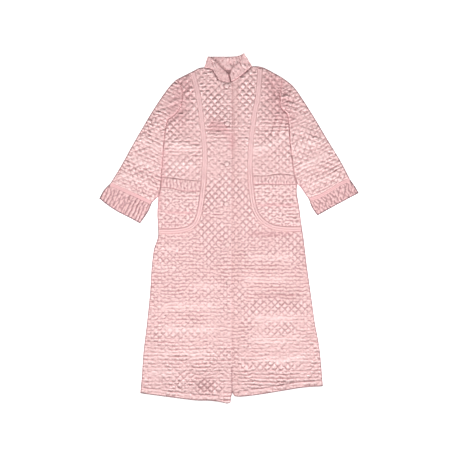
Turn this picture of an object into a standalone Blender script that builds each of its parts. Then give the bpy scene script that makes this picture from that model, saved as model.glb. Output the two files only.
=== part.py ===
# A long quilted satin housecoat, laid flat with its front up and buttoned at the top.
# It lies on z = 0 with its collar towards +Y. Right and left are the wearer's: right is at -X.
# The back is a flat wall on the floor, the fronts lie on it, and the pockets, tapes and buttons
# lie on the fronts. The sleeves and cuffs are flattened tubes with a thin hollow from end to end.

import math
from collections import namedtuple

import bmesh
import bpy
import numpy as np
from mathutils import Vector
from mathutils.geometry import delaunay_2d_cdt

MM = 0.001

# Walls, in metres
BACK_WALL = 4.0 * MM
FRONT_WALL = 3.0 * MM
STAND_WALL = 2.5 * MM
POCKET_WALL = 2.6 * MM
TAPE_WALL = 1.8 * MM
RIM_SHARE = 0.6  # of its thickness that a wall keeps at its edge
RIM_REACH = 12 * MM  # how far in from its edge a wall is full again
SEAM_GAP = 0.3 * MM  # between pieces that meet at a seam
LAY_GAP = 0.4 * MM  # between a panel and what lies on it

# Quilting: the diamonds between the crossing lines of stitches
DIAMOND_WIDE = 27.0 * MM
DIAMOND_TALL = 28.5 * MM
PUFF = 2.2 * MM
SEAM_STEP = 19 * MM  # between the points of a seam
PLAIN_STEP = 54 * MM  # between the points of a plain inside
CLEAR = 5 * MM  # the quilting's points keep this far from a line that crosses them
LINE_MARGIN = 2 * MM  # a line across a panel stops this far inside its edge
CURVE_SAMPLES = 16  # between two rows of a cut line
FOLD_TAPER = 0.25  # of its length over which a fold fades at each end
SAME_PLACE = 1e-6
SHARP_ABOVE = 0.12  # radians between two faces, so that the quilting's faces show

# How high the fronts and the sleeves stand off what lies under them
LOFT = 2.8 * MM
LOFT_REACH = 110 * MM
LOFT_LIMIT = 3.5 * MM
SLEEVE_SLOT = 0.5 * MM
SLEEVE_LOFT = 2.4 * MM
SLEEVE_REACH = 70 * MM
SLEEVE_EDGE = 4.5 * MM  # wall beside a sleeve's hollow
PAST_ARMHOLE = 12 * MM  # how far the hollow's cutter runs out of the sleeve
PAST_CUFF = 9 * MM  # and out of the cuff

# Trims
TAPE_WIDE = 18 * MM
TAPE_STEP = 19 * MM
TAPE_GROOVE = 0.9 * MM
CUFF_TAPE_WIDE = 13 * MM
BUTTON_WIDE = 18.5 * MM
BUTTON_HIGH = 5.5 * MM
BUTTON_SIDES = 14
BAND_INNER_X = -39 * MM
BAND_OUTER_X = 13 * MM
BAND_PUFF = 1.1 * MM
BAND_RIDGE = (-17, 0, 17)  # across the button band, in millimetres
BAND_DIAMOND = 20 * MM  # how tall the diamonds are on a pocket's band
POCKET_MARGIN = 2.5 * MM  # between a pocket and the side seam
CENTRE_REACH = 70 * MM  # how far in the right front slopes up to lie over the left one
STAND_HIDDEN_X = -31 * MM
STAND_SHOWN_X = 39 * MM

# Collar
COLLAR_INNER_RADIUS = 0.5 * MM
COLLAR_OUTER_RADIUS = 4.5 * MM
COLLAR_PUFF = 1.3 * MM
COLLAR_ROWS = 4
COLLAR_STEP = 15 * MM
COLLAR_FOLD_TURNS = 4
COLLAR_SHOWN = 45 * MM  # the inside of its back shows this far to each side

SATIN = (0.80, 0.50, 0.51, 1.0)
SATIN_ROUGHNESS = 0.38

Place = namedtuple("Place", "x y")
Fold = namedtuple("Fold", "x1 y1 x2 y2 wide high")
CollarStation = namedtuple("CollarStation", "seam_x seam_y top_x top_y")
Dot = namedtuple("Dot", "x y")
Ring = namedtuple("Ring", "share rise")


def table(kind, *rows):
    return tuple(kind(*row) for row in rows)


# The cut lines, in millimetres, each from its upper to its lower or outer end
SHOULDER = {
    "right": table(Place, (-99, 629), (-113, 628), (-133, 618), (-206, 581)),
    "left": table(Place, (91, 633), (111, 633), (142, 625), (205, 591)),
}
ARMHOLE = {
    "right": table(
        Place, (-206, 581), (-192, 566), (-183, 539), (-182, 510), (-188, 480), (-207, 449), (-239, 425)
    ),
    "left": table(
        Place, (205, 591), (205, 550), (199, 515), (202, 473), (217, 457), (230, 440), (232, 418)
    ),
}
UNDERARM = {
    "right": table(Place, (-239, 425), (-249, 379), (-257, 300), (-263, 220), (-267, 160), (-276, 125)),
    "left": table(Place, (232, 418), (236, 379), (242, 307), (255, 215), (267, 174)),
}
SIDE = {
    "right": table(
        Place,
        (-276, 125),
        (-280, 60),
        (-277, -12),
        (-280, -42),
        (-294, -84),
        (-303, -160),
        (-309, -254),
        (-322, -380),
        (-334, -480),
        (-341, -580),
        (-347, -643),
    ),
    "left": table(
        Place,
        (267, 174),
        (265, 140),
        (274, 86),
        (282, 25),
        (293, -50),
        (305, -150),
        (324, -285),
        (335, -365),
        (351, -450),
        (359, -520),
        (367, -616),
    ),
}
HEM = {
    "right": table(Place, (-347, -643), (-236, -658), (-131, -671), (-79, -672), (-39, -676)),
    "left": table(Place, (367, -616), (298, -620), (220, -632), (141, -645), (76, -654), (39, -657)),
}
SLEEVE_OUTER = {
    "right": table(Place, (-206, 581), (-239, 546), (-294, 466), (-367, 343), (-422, 244), (-465, 174)),
    "left": table(Place, (205, 591), (239, 566), (267, 535), (327, 443), (382, 351), (438, 259), (473, 191)),
}
SLEEVE_INNER = {
    "right": table(Place, (-276, 125), (-287, 114), (-301, 99)),
    "left": table(Place, (267, 174), (281, 158), (297, 134), (312, 113)),
}
CUFF_SEAM = {
    "right": table(Place, (-465, 174), (-385, 139), (-301, 99)),
    "left": table(Place, (473, 191), (443, 179), (361, 130), (312, 113)),
}
CUFF_OUTER = {
    "right": table(Place, (-465, 174), (-488, 151), (-507, 117)),
    "left": table(Place, (473, 191), (492, 164), (507, 138)),
}
CUFF_HEM = {
    "right": table(Place, (-507, 117), (-472, 89), (-433, 64), (-386, 40), (-347, 19)),
    "left": table(Place, (507, 138), (456, 111), (413, 88), (345, 50)),
}
CUFF_INNER = {
    "right": table(Place, (-301, 99), (-316, 64), (-347, 19)),
    "left": table(Place, (312, 113), (322, 84), (345, 50)),
}
BAND_FOOT = table(Place, (-39, -676), (-1, -684), (7, -679))
BAND_FOOT_EDGE = table(Place, (7, -679), (9, -656), (13, -636))
STAND_FOOT = table(Place, (39, -657), (23, -659), (15, -640), (-31, -640))
BACK_NOTCH = table(Place, (-20, -668), (2, -632), (22, -632), (32, -652))
BACK_HEM_RISE = 3  # how far the back's hem stays inside the fronts'

# The tapes' middles, from the shoulder round the pocket to the side seam
TAPE = {
    "right": table(
        Place,
        (-142, 608),
        (-121, 526),
        (-105, 415),
        (-94, 300),
        (-97, 220),
        (-101, 158),
        (-110, 90),
        (-121, 42),
        (-138, 14),
        (-168, -3),
        (-214, -10),
        (-273, -11),
    ),
    "left": table(
        Place,
        (121, 622),
        (114, 526),
        (100, 450),
        (88, 359),
        (83, 279),
        (83, 209),
        (88, 148),
        (97, 90),
        (112, 52),
        (136, 26),
        (170, 7),
        (221, -1),
        (281, -2),
    ),
}
POCKET_MOUTH = {
    "right": table(Place, (-262, 202), (-190, 193), (-104, 184)),
    "left": table(Place, (253, 208), (197, 213), (144, 206), (90, 206)),
}
POCKET_BAND_FOOT = {
    "right": table(Place, (-265, 160), (-230, 159), (-201, 151), (-172, 146), (-104, 146)),
    "left": table(Place, (264, 173), (179, 172), (152, 174), (88, 170)),
}

# The collar's stations, from the right front end over the back to the left front end
COLLAR_RIGHT_WING = table(
    CollarStation,
    (4, 572, -3, 602),
    (-22, 572, -20, 620),
    (-44, 583, -39, 638),
    (-53, 601, -50, 651),
    (-66, 620, -63, 661),
    (-94, 627, -78, 671),
)
COLLAR_BACK = table(
    CollarStation,
    (-94, 627, -78, 671),
    (-62, 621, -55, 671),
    (-30, 619, -28, 671),
    (0, 619, 3, 671),
    (30, 620, 29, 673),
    (62, 624, 44, 677),
    (87, 631, 55, 683),
)
COLLAR_LEFT_WING = table(
    CollarStation,
    (87, 631, 55, 683),
    (62, 609, 42, 652),
    (50, 599, 28, 642),
    (35, 588, 14, 629),
    (9, 573, 3, 602),
)
BUTTONS = table(Dot, (-9, 556), (-6, 408), (-8, 252), (-10, 96), (-5, -64), (0, -211))
# A button's rings, from its flat foot over its round edge to its low crown, as shares of its size
BUTTON_RINGS = table(Ring, (0.62, 0), (1, 0.36), (0.86, 0.74), (0.5, 1))

# The largest folds: ridges have a height above nothing, troughs below it
BODY_FOLDS = table(
    Fold,
    (-180, 524, -152, 566, 15, -2.4),
    (-178, 508, -128, 530, 17, -1.8),
    (-200, 452, -150, 470, 20, -1.6),
    (-240, 400, -178, 395, 22, 0.8),
    (-100, 387, -20, 384, 24, -1.6),
    (-240, 330, -120, 345, 30, 0.7),
    (183, 505, 166, 582, 18, -2.4),
    (196, 468, 154, 350, 17, -2.4),
    (212, 458, 182, 348, 17, -2.2),
    (226, 448, 212, 352, 17, -2.0),
    (182, 500, 120, 488, 20, -1.6),
    (60, 392, 160, 380, 26, -1.2),
    (-250, -180, -90, -160, 40, 0.7),
    (-290, -330, -60, -350, 44, -1.2),
    (80, -250, 280, -230, 44, 0.7),
    (60, -440, 320, -420, 46, -1.2),
    (-300, -520, -60, -545, 40, 0.7),
)
SLEEVE_FOLDS = {
    "right": table(
        Fold,
        (-196, 520, -232, 500, 16, -1.8),
        (-196, 490, -240, 462, 16, -1.6),
        (-262, 470, -300, 330, 28, 0.8),
        (-262, 380, -352, 300, 26, -1.5),
        (-276, 250, -390, 200, 26, -1.4),
    ),
    "left": table(
        Fold,
        (206, 520, 250, 545, 16, -1.9),
        (206, 495, 262, 500, 16, -1.6),
        (250, 430, 290, 320, 28, 0.8),
        (262, 380, 340, 290, 26, -1.5),
        (276, 240, 392, 210, 26, -1.4),
    ),
}


def metres(rows):
    return np.array([(row.x * MM, row.y * MM) for row in rows])


def smooth_curve(points, step):
    # Points about one step apart on a smooth curve through the given ones
    first = 2 * points[0] - points[1]
    last = 2 * points[-1] - points[-2]
    known = np.vstack([first, points, last])
    t = np.linspace(0, 1, CURVE_SAMPLES, endpoint=False)[:, None]
    dense = []
    for a, b, c, d in zip(known, known[1:], known[2:], known[3:]):
        dense.append(
            0.5 * (2 * b + (c - a) * t + (2 * a - 5 * b + 4 * c - d) * t**2 + (3 * b - a - 3 * c + d) * t**3)
        )
    dense = np.vstack(dense + [known[-2]])
    along = np.concatenate([[0], np.cumsum(np.linalg.norm(np.diff(dense, axis=0), axis=1))])
    count = max(1, round(along[-1] / step))
    at = np.linspace(0, along[-1], count + 1)
    return np.stack([np.interp(at, along, dense[:, k]) for k in range(dense.shape[1])], axis=1)


def seam(rows, step=SEAM_STEP):
    return smooth_curve(metres(rows), step)


def joined(*lines):
    # One closed outline, anticlockwise, from lines that follow each other
    points = [line[0] for line in lines[:1]]
    for line in lines:
        for point in line:
            if np.linalg.norm(point - points[-1]) > SAME_PLACE:
                points.append(point)
    if np.linalg.norm(points[0] - points[-1]) < SAME_PLACE:
        points.pop()
    loop = np.array(points)
    x, y = loop.T
    twice_area = (x * np.roll(y, -1) - np.roll(x, -1) * y).sum()
    return loop if twice_area > 0 else loop[::-1]


def inset(loop, distance):
    def left_of(a, b):
        run = (b - a) / np.linalg.norm(b - a, axis=1)[:, None]
        return np.stack([-run[:, 1], run[:, 0]], axis=1)

    before = left_of(np.roll(loop, 1, axis=0), loop)
    after = left_of(loop, np.roll(loop, -1, axis=0))
    share = np.maximum(1 + (before * after).sum(axis=1), 0.4)
    return loop + (before + after) / share[:, None] * distance


def beside(line, distance):
    # A line moved sideways, to its left for a distance above nothing
    run = np.gradient(line, axis=0)
    run /= np.linalg.norm(run, axis=1)[:, None]
    return line + np.stack([-run[:, 1], run[:, 0]], axis=1) * distance


def is_inside(points, loop):
    x, y = points[:, 0, None], points[:, 1, None]
    ax, ay = loop.T
    bx, by = np.roll(loop, -1, axis=0).T
    crosses = (ay > y) != (by > y)
    with np.errstate(divide="ignore", invalid="ignore"):
        at = ax + (y - ay) / (by - ay) * (bx - ax)
    return (crosses & (x < at)).sum(axis=1) % 2 == 1


def far_from(points, line):
    # How far each point is from an open line
    a, b = line[:-1], line[1:]
    run = b - a
    t = ((points[:, None] - a) * run).sum(axis=2) / np.maximum((run**2).sum(axis=1), 1e-12)
    nearest = a + np.clip(t, 0, 1)[..., None] * run
    return np.linalg.norm(points[:, None] - nearest, axis=2).min(axis=1)


def closed_line(loop):
    return np.vstack([loop, loop[:1]])


def ease(t):
    t = np.clip(t, 0, 1)
    return t * t * (3 - 2 * t)


def fold_height(points, folds):
    total = np.zeros(len(points))
    for fold in folds:
        start = np.array([fold.x1, fold.y1]) * MM
        run = np.array([fold.x2, fold.y2]) * MM - start
        long = np.linalg.norm(run)
        t = (points - start) @ run / long**2
        across = (points - start) @ np.array([-run[1], run[0]]) / long
        taper = ease(t / FOLD_TAPER) * ease((1 - t) / FOLD_TAPER)
        total += fold.high * MM * taper * np.exp(-((across / (fold.wide * MM / 2)) ** 2))
    return total


def quilt_lattice(loop, angle, wide, tall, lines=(), blank=None):
    # The quilting's points inside a loop: where its stitches cross, and the middle of each diamond
    turn = np.array([[math.cos(angle), math.sin(angle)], [-math.sin(angle), math.cos(angle)]])
    local = loop @ turn.T
    i0, j0 = np.floor(local.min(axis=0) / (wide / 2, tall / 2)).astype(int)
    i1, j1 = np.ceil(local.max(axis=0) / (wide / 2, tall / 2)).astype(int)
    cells = np.array([(i, j) for i in range(i0, i1 + 1) for j in range(j0, j1 + 1)])
    points = (cells * (wide / 2, tall / 2)) @ turn
    keep = is_inside(points, loop) & (far_from(points, closed_line(loop)) > CLEAR)
    for line in lines:
        keep &= far_from(points, line) > CLEAR
    if blank is not None:
        covered = is_inside(points, blank)
        crossing = (cells % 2 == 0).all(axis=1)
        keep &= ~covered | crossing
    else:
        covered = np.zeros(len(points), bool)
    cells, points, covered = cells[keep], points[keep], covered[keep]
    high = (cells.sum(axis=1) % 2 == 1) & ~covered
    number = {tuple(cell): k for k, cell in enumerate(cells) if not covered[k]}
    stitches = []
    for (i, j), k in number.items():
        if high[k]:
            continue
        for step in (1, -1):
            other = number.get((i + 1, j + step))
            if other is not None:
                stitches.append((k, other))
    return points, high, stitches


NO_QUILTING = (np.zeros((0, 2)), [], [])


def plain_lattice(loop, step):
    # Points a step apart inside a loop, or none where there is no step
    if step is None:
        return NO_QUILTING[0]
    low, top = loop.min(axis=0), loop.max(axis=0)
    xs = np.arange(low[0] + step / 2, top[0], step)
    ys = np.arange(low[1] + step / 2, top[1], step)
    points = np.array([(x, y) for x in xs for y in ys]).reshape(-1, 2)
    keep = is_inside(points, loop) & (far_from(points, closed_line(loop)) > step / 3)
    return points[keep]


def triangulated(loop, points, high, stitches, lines):
    # Triangles over the loop: their corners, which of those are the middle of a diamond, and the faces
    coords = [tuple(p) for p in loop] + [tuple(p) for p in points]
    raised = [False] * len(loop) + list(high)
    edges = [(a + len(loop), b + len(loop)) for a, b in stitches]
    for line in lines:
        start = len(coords)
        coords += [tuple(p) for p in line]
        raised += [False] * len(line)
        edges += [(start + k, start + k + 1) for k in range(len(line) - 1)]
    found = delaunay_2d_cdt([Vector(c) for c in coords], edges, [list(range(len(loop)))], 1, SAME_PLACE)
    corners = np.array([tuple(v) for v in found[0]])
    is_high = np.array([any(raised[k] for k in origin) for origin in found[3]])
    faces = []
    for face in found[2]:
        a, b, c = corners[list(face)]
        turning = (b[0] - a[0]) * (c[1] - a[1]) - (b[1] - a[1]) * (c[0] - a[0])
        faces.append(tuple(face) if turning > 0 else tuple(face)[::-1])
    return corners, is_high, faces


def rim_of(faces):
    # The corners round the edge of the faces, in order
    following = {}
    sides = {(face[k], face[(k + 1) % 3]) for face in faces for k in range(3)}
    for a, b in sides:
        if (b, a) not in sides:
            following[a] = b
    rim = [next(iter(following))]
    while following[rim[-1]] != rim[0]:
        rim.append(following[rim[-1]])
    return rim


def add_piece(name, vertices, faces):
    mesh = bpy.data.meshes.new(name)
    mesh.from_pydata([tuple(v) for v in vertices], [], faces)
    shape = bmesh.new()
    shape.from_mesh(mesh)
    bmesh.ops.recalc_face_normals(shape, faces=shape.faces)
    shape.to_mesh(mesh)
    shape.free()
    mesh.shade_smooth()
    mesh.set_sharp_from_angle(angle=SHARP_ABOVE)
    material = bpy.data.materials.new(name)
    material.use_nodes = True
    shader = material.node_tree.nodes["Principled BSDF"]
    shader.inputs["Base Color"].default_value = SATIN
    shader.inputs["Roughness"].default_value = SATIN_ROUGHNESS
    mesh.materials.append(material)
    piece = bpy.data.objects.new(name, mesh)
    bpy.context.scene.collection.objects.link(piece)
    return piece


def add_wall(name, loop, inner, over, under, plain_step=PLAIN_STEP, lines=()):
    # A wall between two heights. inner holds the outer face's points, the raised ones and the stitches.
    points, high, stitches = inner
    corners, is_high, faces = triangulated(loop, points, high, stitches, lines)
    rim = rim_of(faces)
    below = plain_lattice(corners[rim], plain_step)
    low_corners, _, low_faces = triangulated(corners[rim], below, [False] * len(below), [], [])
    top = np.column_stack([corners, over(corners, is_high)])
    bottom = np.column_stack([low_corners, under(low_corners)])
    start = len(top)
    walls = []
    for k, upper in enumerate(rim):
        following = rim[(k + 1) % len(rim)]
        walls.append((start + k, start + (k + 1) % len(rim), following, upper))
    flipped = [tuple(start + k for k in face[::-1]) for face in low_faces]
    return add_piece(name, np.vstack([top, bottom]), faces + flipped + walls)


def wall_share(points, loop):
    return RIM_SHARE + (1 - RIM_SHARE) * ease(far_from(points, closed_line(loop)) / RIM_REACH)


# Collar: a band folded flat, with its back on the floor and its two wings above


def quilted_cells(corner, rows, columns):
    # Two triangles a cell, which meet along the stitch between its two low corners
    faces = []
    for i in range(rows):
        for j in range(columns):
            a, b, c, d = corner(i, j), corner(i, j + 1), corner(i + 1, j + 1), corner(i + 1, j)
            faces += [(a, b, c), (a, c, d)] if (i + j) % 2 == 0 else [(a, b, d), (b, c, d)]
    return faces


def collar_stations():
    # The seam and the top edge at each station along the band, and how far the band has turned over
    right, back, left = (
        smooth_curve(np.array(rows) * MM, COLLAR_STEP)
        for rows in (COLLAR_RIGHT_WING, COLLAR_BACK, COLLAR_LEFT_WING)
    )
    turns = [math.pi * k / COLLAR_FOLD_TURNS for k in range(1, COLLAR_FOLD_TURNS + 1)]
    stations = [(row, 0.0) for row in right]
    stations += [(right[-1], turn) for turn in turns]
    stations += [(row, math.pi) for row in back[1:]]
    stations += [(back[-1], math.pi - turn) for turn in turns]
    stations += [(row, 0.0) for row in left[1:]]
    seams = {"right": right[:, :2], "back": back[:, :2], "left": left[:, :2]}
    return stations, seams


def add_collar(stations):
    vertices = []
    rows = COLLAR_ROWS + 1
    for number, (row, turn) in enumerate(stations):
        foot, top = row[:2], row[2:]
        up = (top - foot) / np.linalg.norm(top - foot)
        outwards = np.array([up[1], -up[0]]) * (1 if foot[0] > 0 else -1)
        foot = foot + up * SEAM_GAP
        is_end = number in (0, len(stations) - 1)
        for radius in (COLLAR_OUTER_RADIUS, COLLAR_INNER_RADIUS):
            for step in range(rows):
                place = foot + (top - foot) * step / COLLAR_ROWS
                is_puff = (number + step) % 2 == 1 and 0 < step < COLLAR_ROWS and not is_end
                is_shown_inside = turn == math.pi and step > 1 and abs(place[0]) < COLLAR_SHOWN
                reach = radius
                if is_puff and radius == COLLAR_OUTER_RADIUS and turn == 0:
                    reach += COLLAR_PUFF
                if is_puff and radius == COLLAR_INNER_RADIUS and is_shown_inside:
                    reach -= COLLAR_PUFF
                place = place + outwards * math.sin(turn) * reach
                vertices.append((place[0], place[1], COLLAR_OUTER_RADIUS + math.cos(turn) * reach))

    def outer(number, step):
        return number * 2 * rows + step

    def inner(number, step):
        return outer(number, step) + rows

    last = len(stations) - 1
    faces = quilted_cells(outer, last, COLLAR_ROWS)
    faces += [face[::-1] for face in quilted_cells(inner, last, COLLAR_ROWS)]
    for number in range(last):
        for step in (0, COLLAR_ROWS):
            near = (outer(number, step), inner(number, step))
            far = (inner(number + 1, step), outer(number + 1, step))
            faces.append(near + far)
    for number in (0, last):
        across = [outer(number, step) for step in range(rows)]
        faces.append(tuple(across + [inner(number, step) for step in reversed(range(rows))]))
    add_piece("collar", vertices, faces)


# Body: the seams that its panels share, and the heights that they lie at


def at_x(line, x):
    order = np.argsort(line[:, 0])
    return np.array([x, np.interp(x, line[order, 0], line[order, 1])])


def neck_part(line, low_x, high_x):
    # The stretch of a neck seam between two places across the coat, from low to high
    order = np.argsort(line[:, 0])
    line = line[order]
    ends = [at_x(line, max(low_x, line[0, 0])), at_x(line, min(high_x, line[-1, 0]))]
    middle = line[(line[:, 0] > ends[0][0] + MM) & (line[:, 0] < ends[1][0] - MM)]
    return np.vstack([ends[0], middle, ends[1]])


def straight(a, b, step):
    count = max(1, round(np.linalg.norm(np.subtract(b, a)) / step))
    return np.linspace(a, b, count + 1)


def body_seams(necks):
    seams = {}
    for side in ("right", "left"):
        shoulder = seam(SHOULDER[side])
        seams[side] = {
            "shoulder": shoulder,
            "armhole": seam(ARMHOLE[side]),
            "underarm": seam(UNDERARM[side]),
            "side": seam(SIDE[side]),
            "hem": seam(HEM[side]),
        }
    seams["right"]["neck"] = neck_part(necks["right"], -math.inf, BAND_INNER_X)
    seams["left"]["neck"] = neck_part(necks["left"], STAND_SHOWN_X, math.inf)[::-1]
    for parts in seams.values():
        parts["centre"] = straight(parts["hem"][-1], parts["neck"][-1], SEAM_STEP)
    return seams


def front_loop(parts):
    names = ("neck", "shoulder", "armhole", "underarm", "side", "hem", "centre")
    lines = [parts[name] for name in names]
    lines[0] = lines[0][::-1]
    return inset(joined(*lines), SEAM_GAP / 2)


def front_lofts(seams):
    # How high each front's inside lies above the back's, as a function of the place
    edges = {}
    for side in ("right", "left"):
        names = ["neck", "shoulder", "underarm", "side", "hem"] + ["centre"] * (side == "left")
        edges[side] = [seams[side][name] for name in names]

    def loft(points, side):
        apart = np.min([far_from(points, line) for line in edges[side]], axis=0)
        height = LOFT * ease(apart / LOFT_REACH) + fold_height(points, BODY_FOLDS)
        height = np.clip(height, 0, LOFT_LIMIT)
        if side == "right":
            height = np.maximum(height, LOFT * (1 - ease((BAND_INNER_X - points[:, 0]) / CENTRE_REACH)))
        return BACK_WALL + SEAM_GAP + height

    return loft


def add_back(seams, necks):
    right, left = seams["right"], seams["left"]
    rise = np.array([0, BACK_HEM_RISE * MM])
    hem = [right["hem"][1:-1] + rise, seam(BACK_NOTCH), left["hem"][::-1][1:-1] + rise]
    loop = joined(
        necks["back"][::-1],
        right["shoulder"],
        right["armhole"],
        right["underarm"],
        right["side"],
        *hem,
        left["side"][::-1],
        left["underarm"][::-1],
        left["armhole"][::-1],
        left["shoulder"][::-1],
    )
    add_wall(
        "back",
        inset(loop, SEAM_GAP / 2),
        NO_QUILTING,
        lambda points, high: np.full(len(points), BACK_WALL),
        lambda points: np.zeros(len(points)),
        plain_step=None,
    )


def inside_part(line, loop, margin):
    # The stretch of a line that lies well inside a loop
    dense = smooth_curve(line, MM)
    kept = dense[is_inside(dense, inset(loop, margin))]
    return smooth_curve(kept, SEAM_STEP)


def pocket_layout(side, seams):
    # The lines of one side's trims: the tape's edges, the pocket's mouth and the outlines on the front
    towards = -1 if side == "right" else 1
    tape = seam(TAPE[side], TAPE_STEP)
    half = TAPE_WIDE / 2
    pocket_edge = beside(tape, towards * (half + SEAM_GAP))
    edge_y = pocket_edge[:, 1]
    reached = []
    for rows in (POCKET_MOUTH[side], POCKET_BAND_FOOT[side]):
        line = seam(rows)
        line = line[far_from(line, tape) > half + 2 * CLEAR]
        y = line[-1][1]
        reached.append(np.vstack([line, [np.interp(-y, -edge_y, pocket_edge[:, 0]), y]]))
    mouth, foot = reached
    beside_band = pocket_edge[(edge_y < mouth[-1][1] - MM) & (edge_y > foot[-1][1] + MM)]
    band_loop = joined(mouth, beside_band, foot[::-1])
    below = pocket_edge[edge_y < foot[-1][1] - MM]
    outer = np.vstack([seams["underarm"], seams["side"][1:]])
    outer = outer + np.array([-towards * POCKET_MARGIN, 0])
    outer = outer[(outer[:, 1] < foot[0][1] - CLEAR) & (outer[:, 1] > below[-1][1] + CLEAR)]
    pocket_loop = joined(foot, below, outer[::-1])
    return {
        "towards": towards,
        "tape": tape,
        "band_loop": inset(band_loop, SEAM_GAP / 2),
        "pocket_loop": inset(pocket_loop, SEAM_GAP / 2),
        "mouth": mouth,
    }


def add_front(side, seams, loft, layout):
    loop = front_loop(seams)
    towards, tape = layout["towards"], layout["tape"]
    clear_of_tape = TAPE_WIDE / 2 + MM
    centre_line = beside(tape, -towards * clear_of_tape)
    pocket_line = beside(tape, towards * clear_of_tape)
    mouth = layout["mouth"] + np.array([0, MM])
    above = pocket_line[pocket_line[:, 1] > mouth[-1][1] + MM]
    past_side = np.array([centre_line[-1], mouth[0]]) + np.array([towards * TAPE_WIDE * 2, 0])
    covered = joined(centre_line, past_side, mouth, above[::-1])
    trims = (centre_line, np.vstack([above, mouth[::-1]]))
    lines = [inside_part(line, loop, LINE_MARGIN) for line in trims]
    inner = quilt_lattice(loop, 0, DIAMOND_WIDE, DIAMOND_TALL, lines, covered)

    def over(points, high):
        wall = FRONT_WALL * wall_share(points, loop)
        return loft(points, side) + wall + PUFF * high

    add_wall(f"front_{side}", loop, inner, over, lambda points: loft(points, side), lines=lines)


def add_ribbon(name, line, wide, under, thick, groove):
    # A double ridged tape along a line. Its underside follows what it lies on.
    edges = [beside(line, -wide / 2), beside(line, wide / 2)]
    low = [under(edge) for edge in edges]
    middle = under(line) + thick - groove
    vertices, faces = [], []
    for k in range(len(line)):
        a, b = edges[0][k], edges[1][k]
        vertices += [(*a, low[0][k]), (*b, low[1][k]), (*b, low[1][k] + thick[k])]
        vertices += [(*line[k], middle[k]), (*a, low[0][k] + thick[k])]
    for k in range(len(line) - 1):
        for j in range(5):
            a, b = 5 * k + j, 5 * k + (j + 1) % 5
            faces.append((a, b, b + 5, a + 5))
    faces.append(tuple(range(5)))
    faces.append(tuple(range(5 * (len(line) - 1), 5 * len(line))))
    add_piece(name, vertices, faces)


def add_trims(side, seams, loft, layout):
    def laid(points):
        return loft(points, side) + FRONT_WALL + LAY_GAP

    tape = inside_part(layout["tape"], front_loop(seams), LINE_MARGIN)
    mouth_y = layout["mouth"][-1][1]
    beside_pocket = 1 - ease((tape[:, 1] - mouth_y) / (2 * TAPE_WIDE))
    thick = TAPE_WALL + (POCKET_WALL + PUFF / 2) * beside_pocket
    add_ribbon(f"trim_tape_{side}", tape, TAPE_WIDE, laid, thick, TAPE_GROOVE)
    quilts = (("pocket", DIAMOND_WIDE, DIAMOND_TALL), ("pocket_band", DIAMOND_TALL, BAND_DIAMOND))
    for name, wide, tall in quilts:
        loop = layout["pocket_loop" if name == "pocket" else "band_loop"]
        inner = quilt_lattice(loop, 0, wide, tall)

        def over(points, high, loop=loop):
            return laid(points) + POCKET_WALL * wall_share(points, loop) + PUFF * high

        add_wall(f"{name}_{side}", loop, inner, over, laid, plain_step=PLAIN_STEP / 2)


def add_button_strips(seams, necks):
    # The band with the buttons, and the stand under it that shows as a smooth strip
    wing = neck_part(necks["right"], BAND_INNER_X, math.inf)
    corner = np.array([BAND_OUTER_X, wing[-1][1] - MM])
    foot, foot_edge = seam(BAND_FOOT), seam(BAND_FOOT_EDGE)
    loop = joined(
        straight(seams["right"]["neck"][-1], seams["right"]["hem"][-1], SEAM_STEP),
        foot,
        foot_edge,
        straight(foot_edge[-1], corner, SEAM_STEP),
        wing[::-1],
    )
    loop = inset(loop, SEAM_GAP / 2)
    middle = (BAND_INNER_X + BAND_OUTER_X) / 2
    points, high, stitches = [], [], []
    pitch = DIAMOND_TALL / 2
    for row in range(math.ceil((foot[0][1] + CLEAR) / pitch), math.ceil((corner[1] - CLEAR) / pitch)):
        is_ridge = row % 2 == 1
        across = BAND_RIDGE if is_ridge else BAND_RIDGE[1:-1]
        start = len(points)
        points += [(middle + x * MM, row * pitch) for x in across]
        high += [is_ridge] * len(across)
        stitches += [(k, k + 1) for k in range(start, len(points) - 1)]
    points = np.array(points)
    base = BACK_WALL + 2 * SEAM_GAP + STAND_WALL
    add_wall(
        "button_band",
        loop,
        (points, high, stitches),
        lambda p, is_high: base + FRONT_WALL * wall_share(p, loop) + BAND_PUFF * is_high,
        lambda p: np.full(len(p), base),
    )
    shown = neck_part(necks["left"], -math.inf, STAND_SHOWN_X)
    hidden = neck_part(necks["right"], STAND_HIDDEN_X, math.inf)
    foot = seam(STAND_FOOT)
    loop = joined(
        straight(seams["left"]["neck"][-1], seams["left"]["hem"][-1], SEAM_STEP),
        foot,
        straight(foot[-1], hidden[0], PLAIN_STEP),
        hidden,
        shown,
    )
    loop = inset(loop, SEAM_GAP / 2)
    add_wall(
        "button_stand",
        loop,
        NO_QUILTING,
        lambda p, is_high: np.full(len(p), BACK_WALL + SEAM_GAP + STAND_WALL),
        lambda p: np.full(len(p), BACK_WALL + SEAM_GAP),
        plain_step=None,
    )
    return base + FRONT_WALL + BAND_PUFF + LAY_GAP


def add_buttons(height):
    radius = BUTTON_WIDE / 2
    for number, dot in enumerate(BUTTONS, 1):
        vertices, faces = [], []
        for ring in BUTTON_RINGS:
            for k in range(BUTTON_SIDES):
                angle = 2 * math.pi * k / BUTTON_SIDES
                across = radius * ring.share
                rise = ring.rise * BUTTON_HIGH
                vertices.append((across * math.cos(angle), across * math.sin(angle), rise))
        last = BUTTON_SIDES * (len(BUTTON_RINGS) - 1)
        for ring in range(len(BUTTON_RINGS) - 1):
            for k in range(BUTTON_SIDES):
                a, b = ring * BUTTON_SIDES + k, ring * BUTTON_SIDES + (k + 1) % BUTTON_SIDES
                faces.append((a, b, b + BUTTON_SIDES, a + BUTTON_SIDES))
        faces.append(tuple(range(BUTTON_SIDES)))
        faces.append(tuple(range(last, last + BUTTON_SIDES)))
        button = add_piece(f"button_{number}", vertices, faces)
        button.location = (dot.x * MM, dot.y * MM, height)


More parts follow.
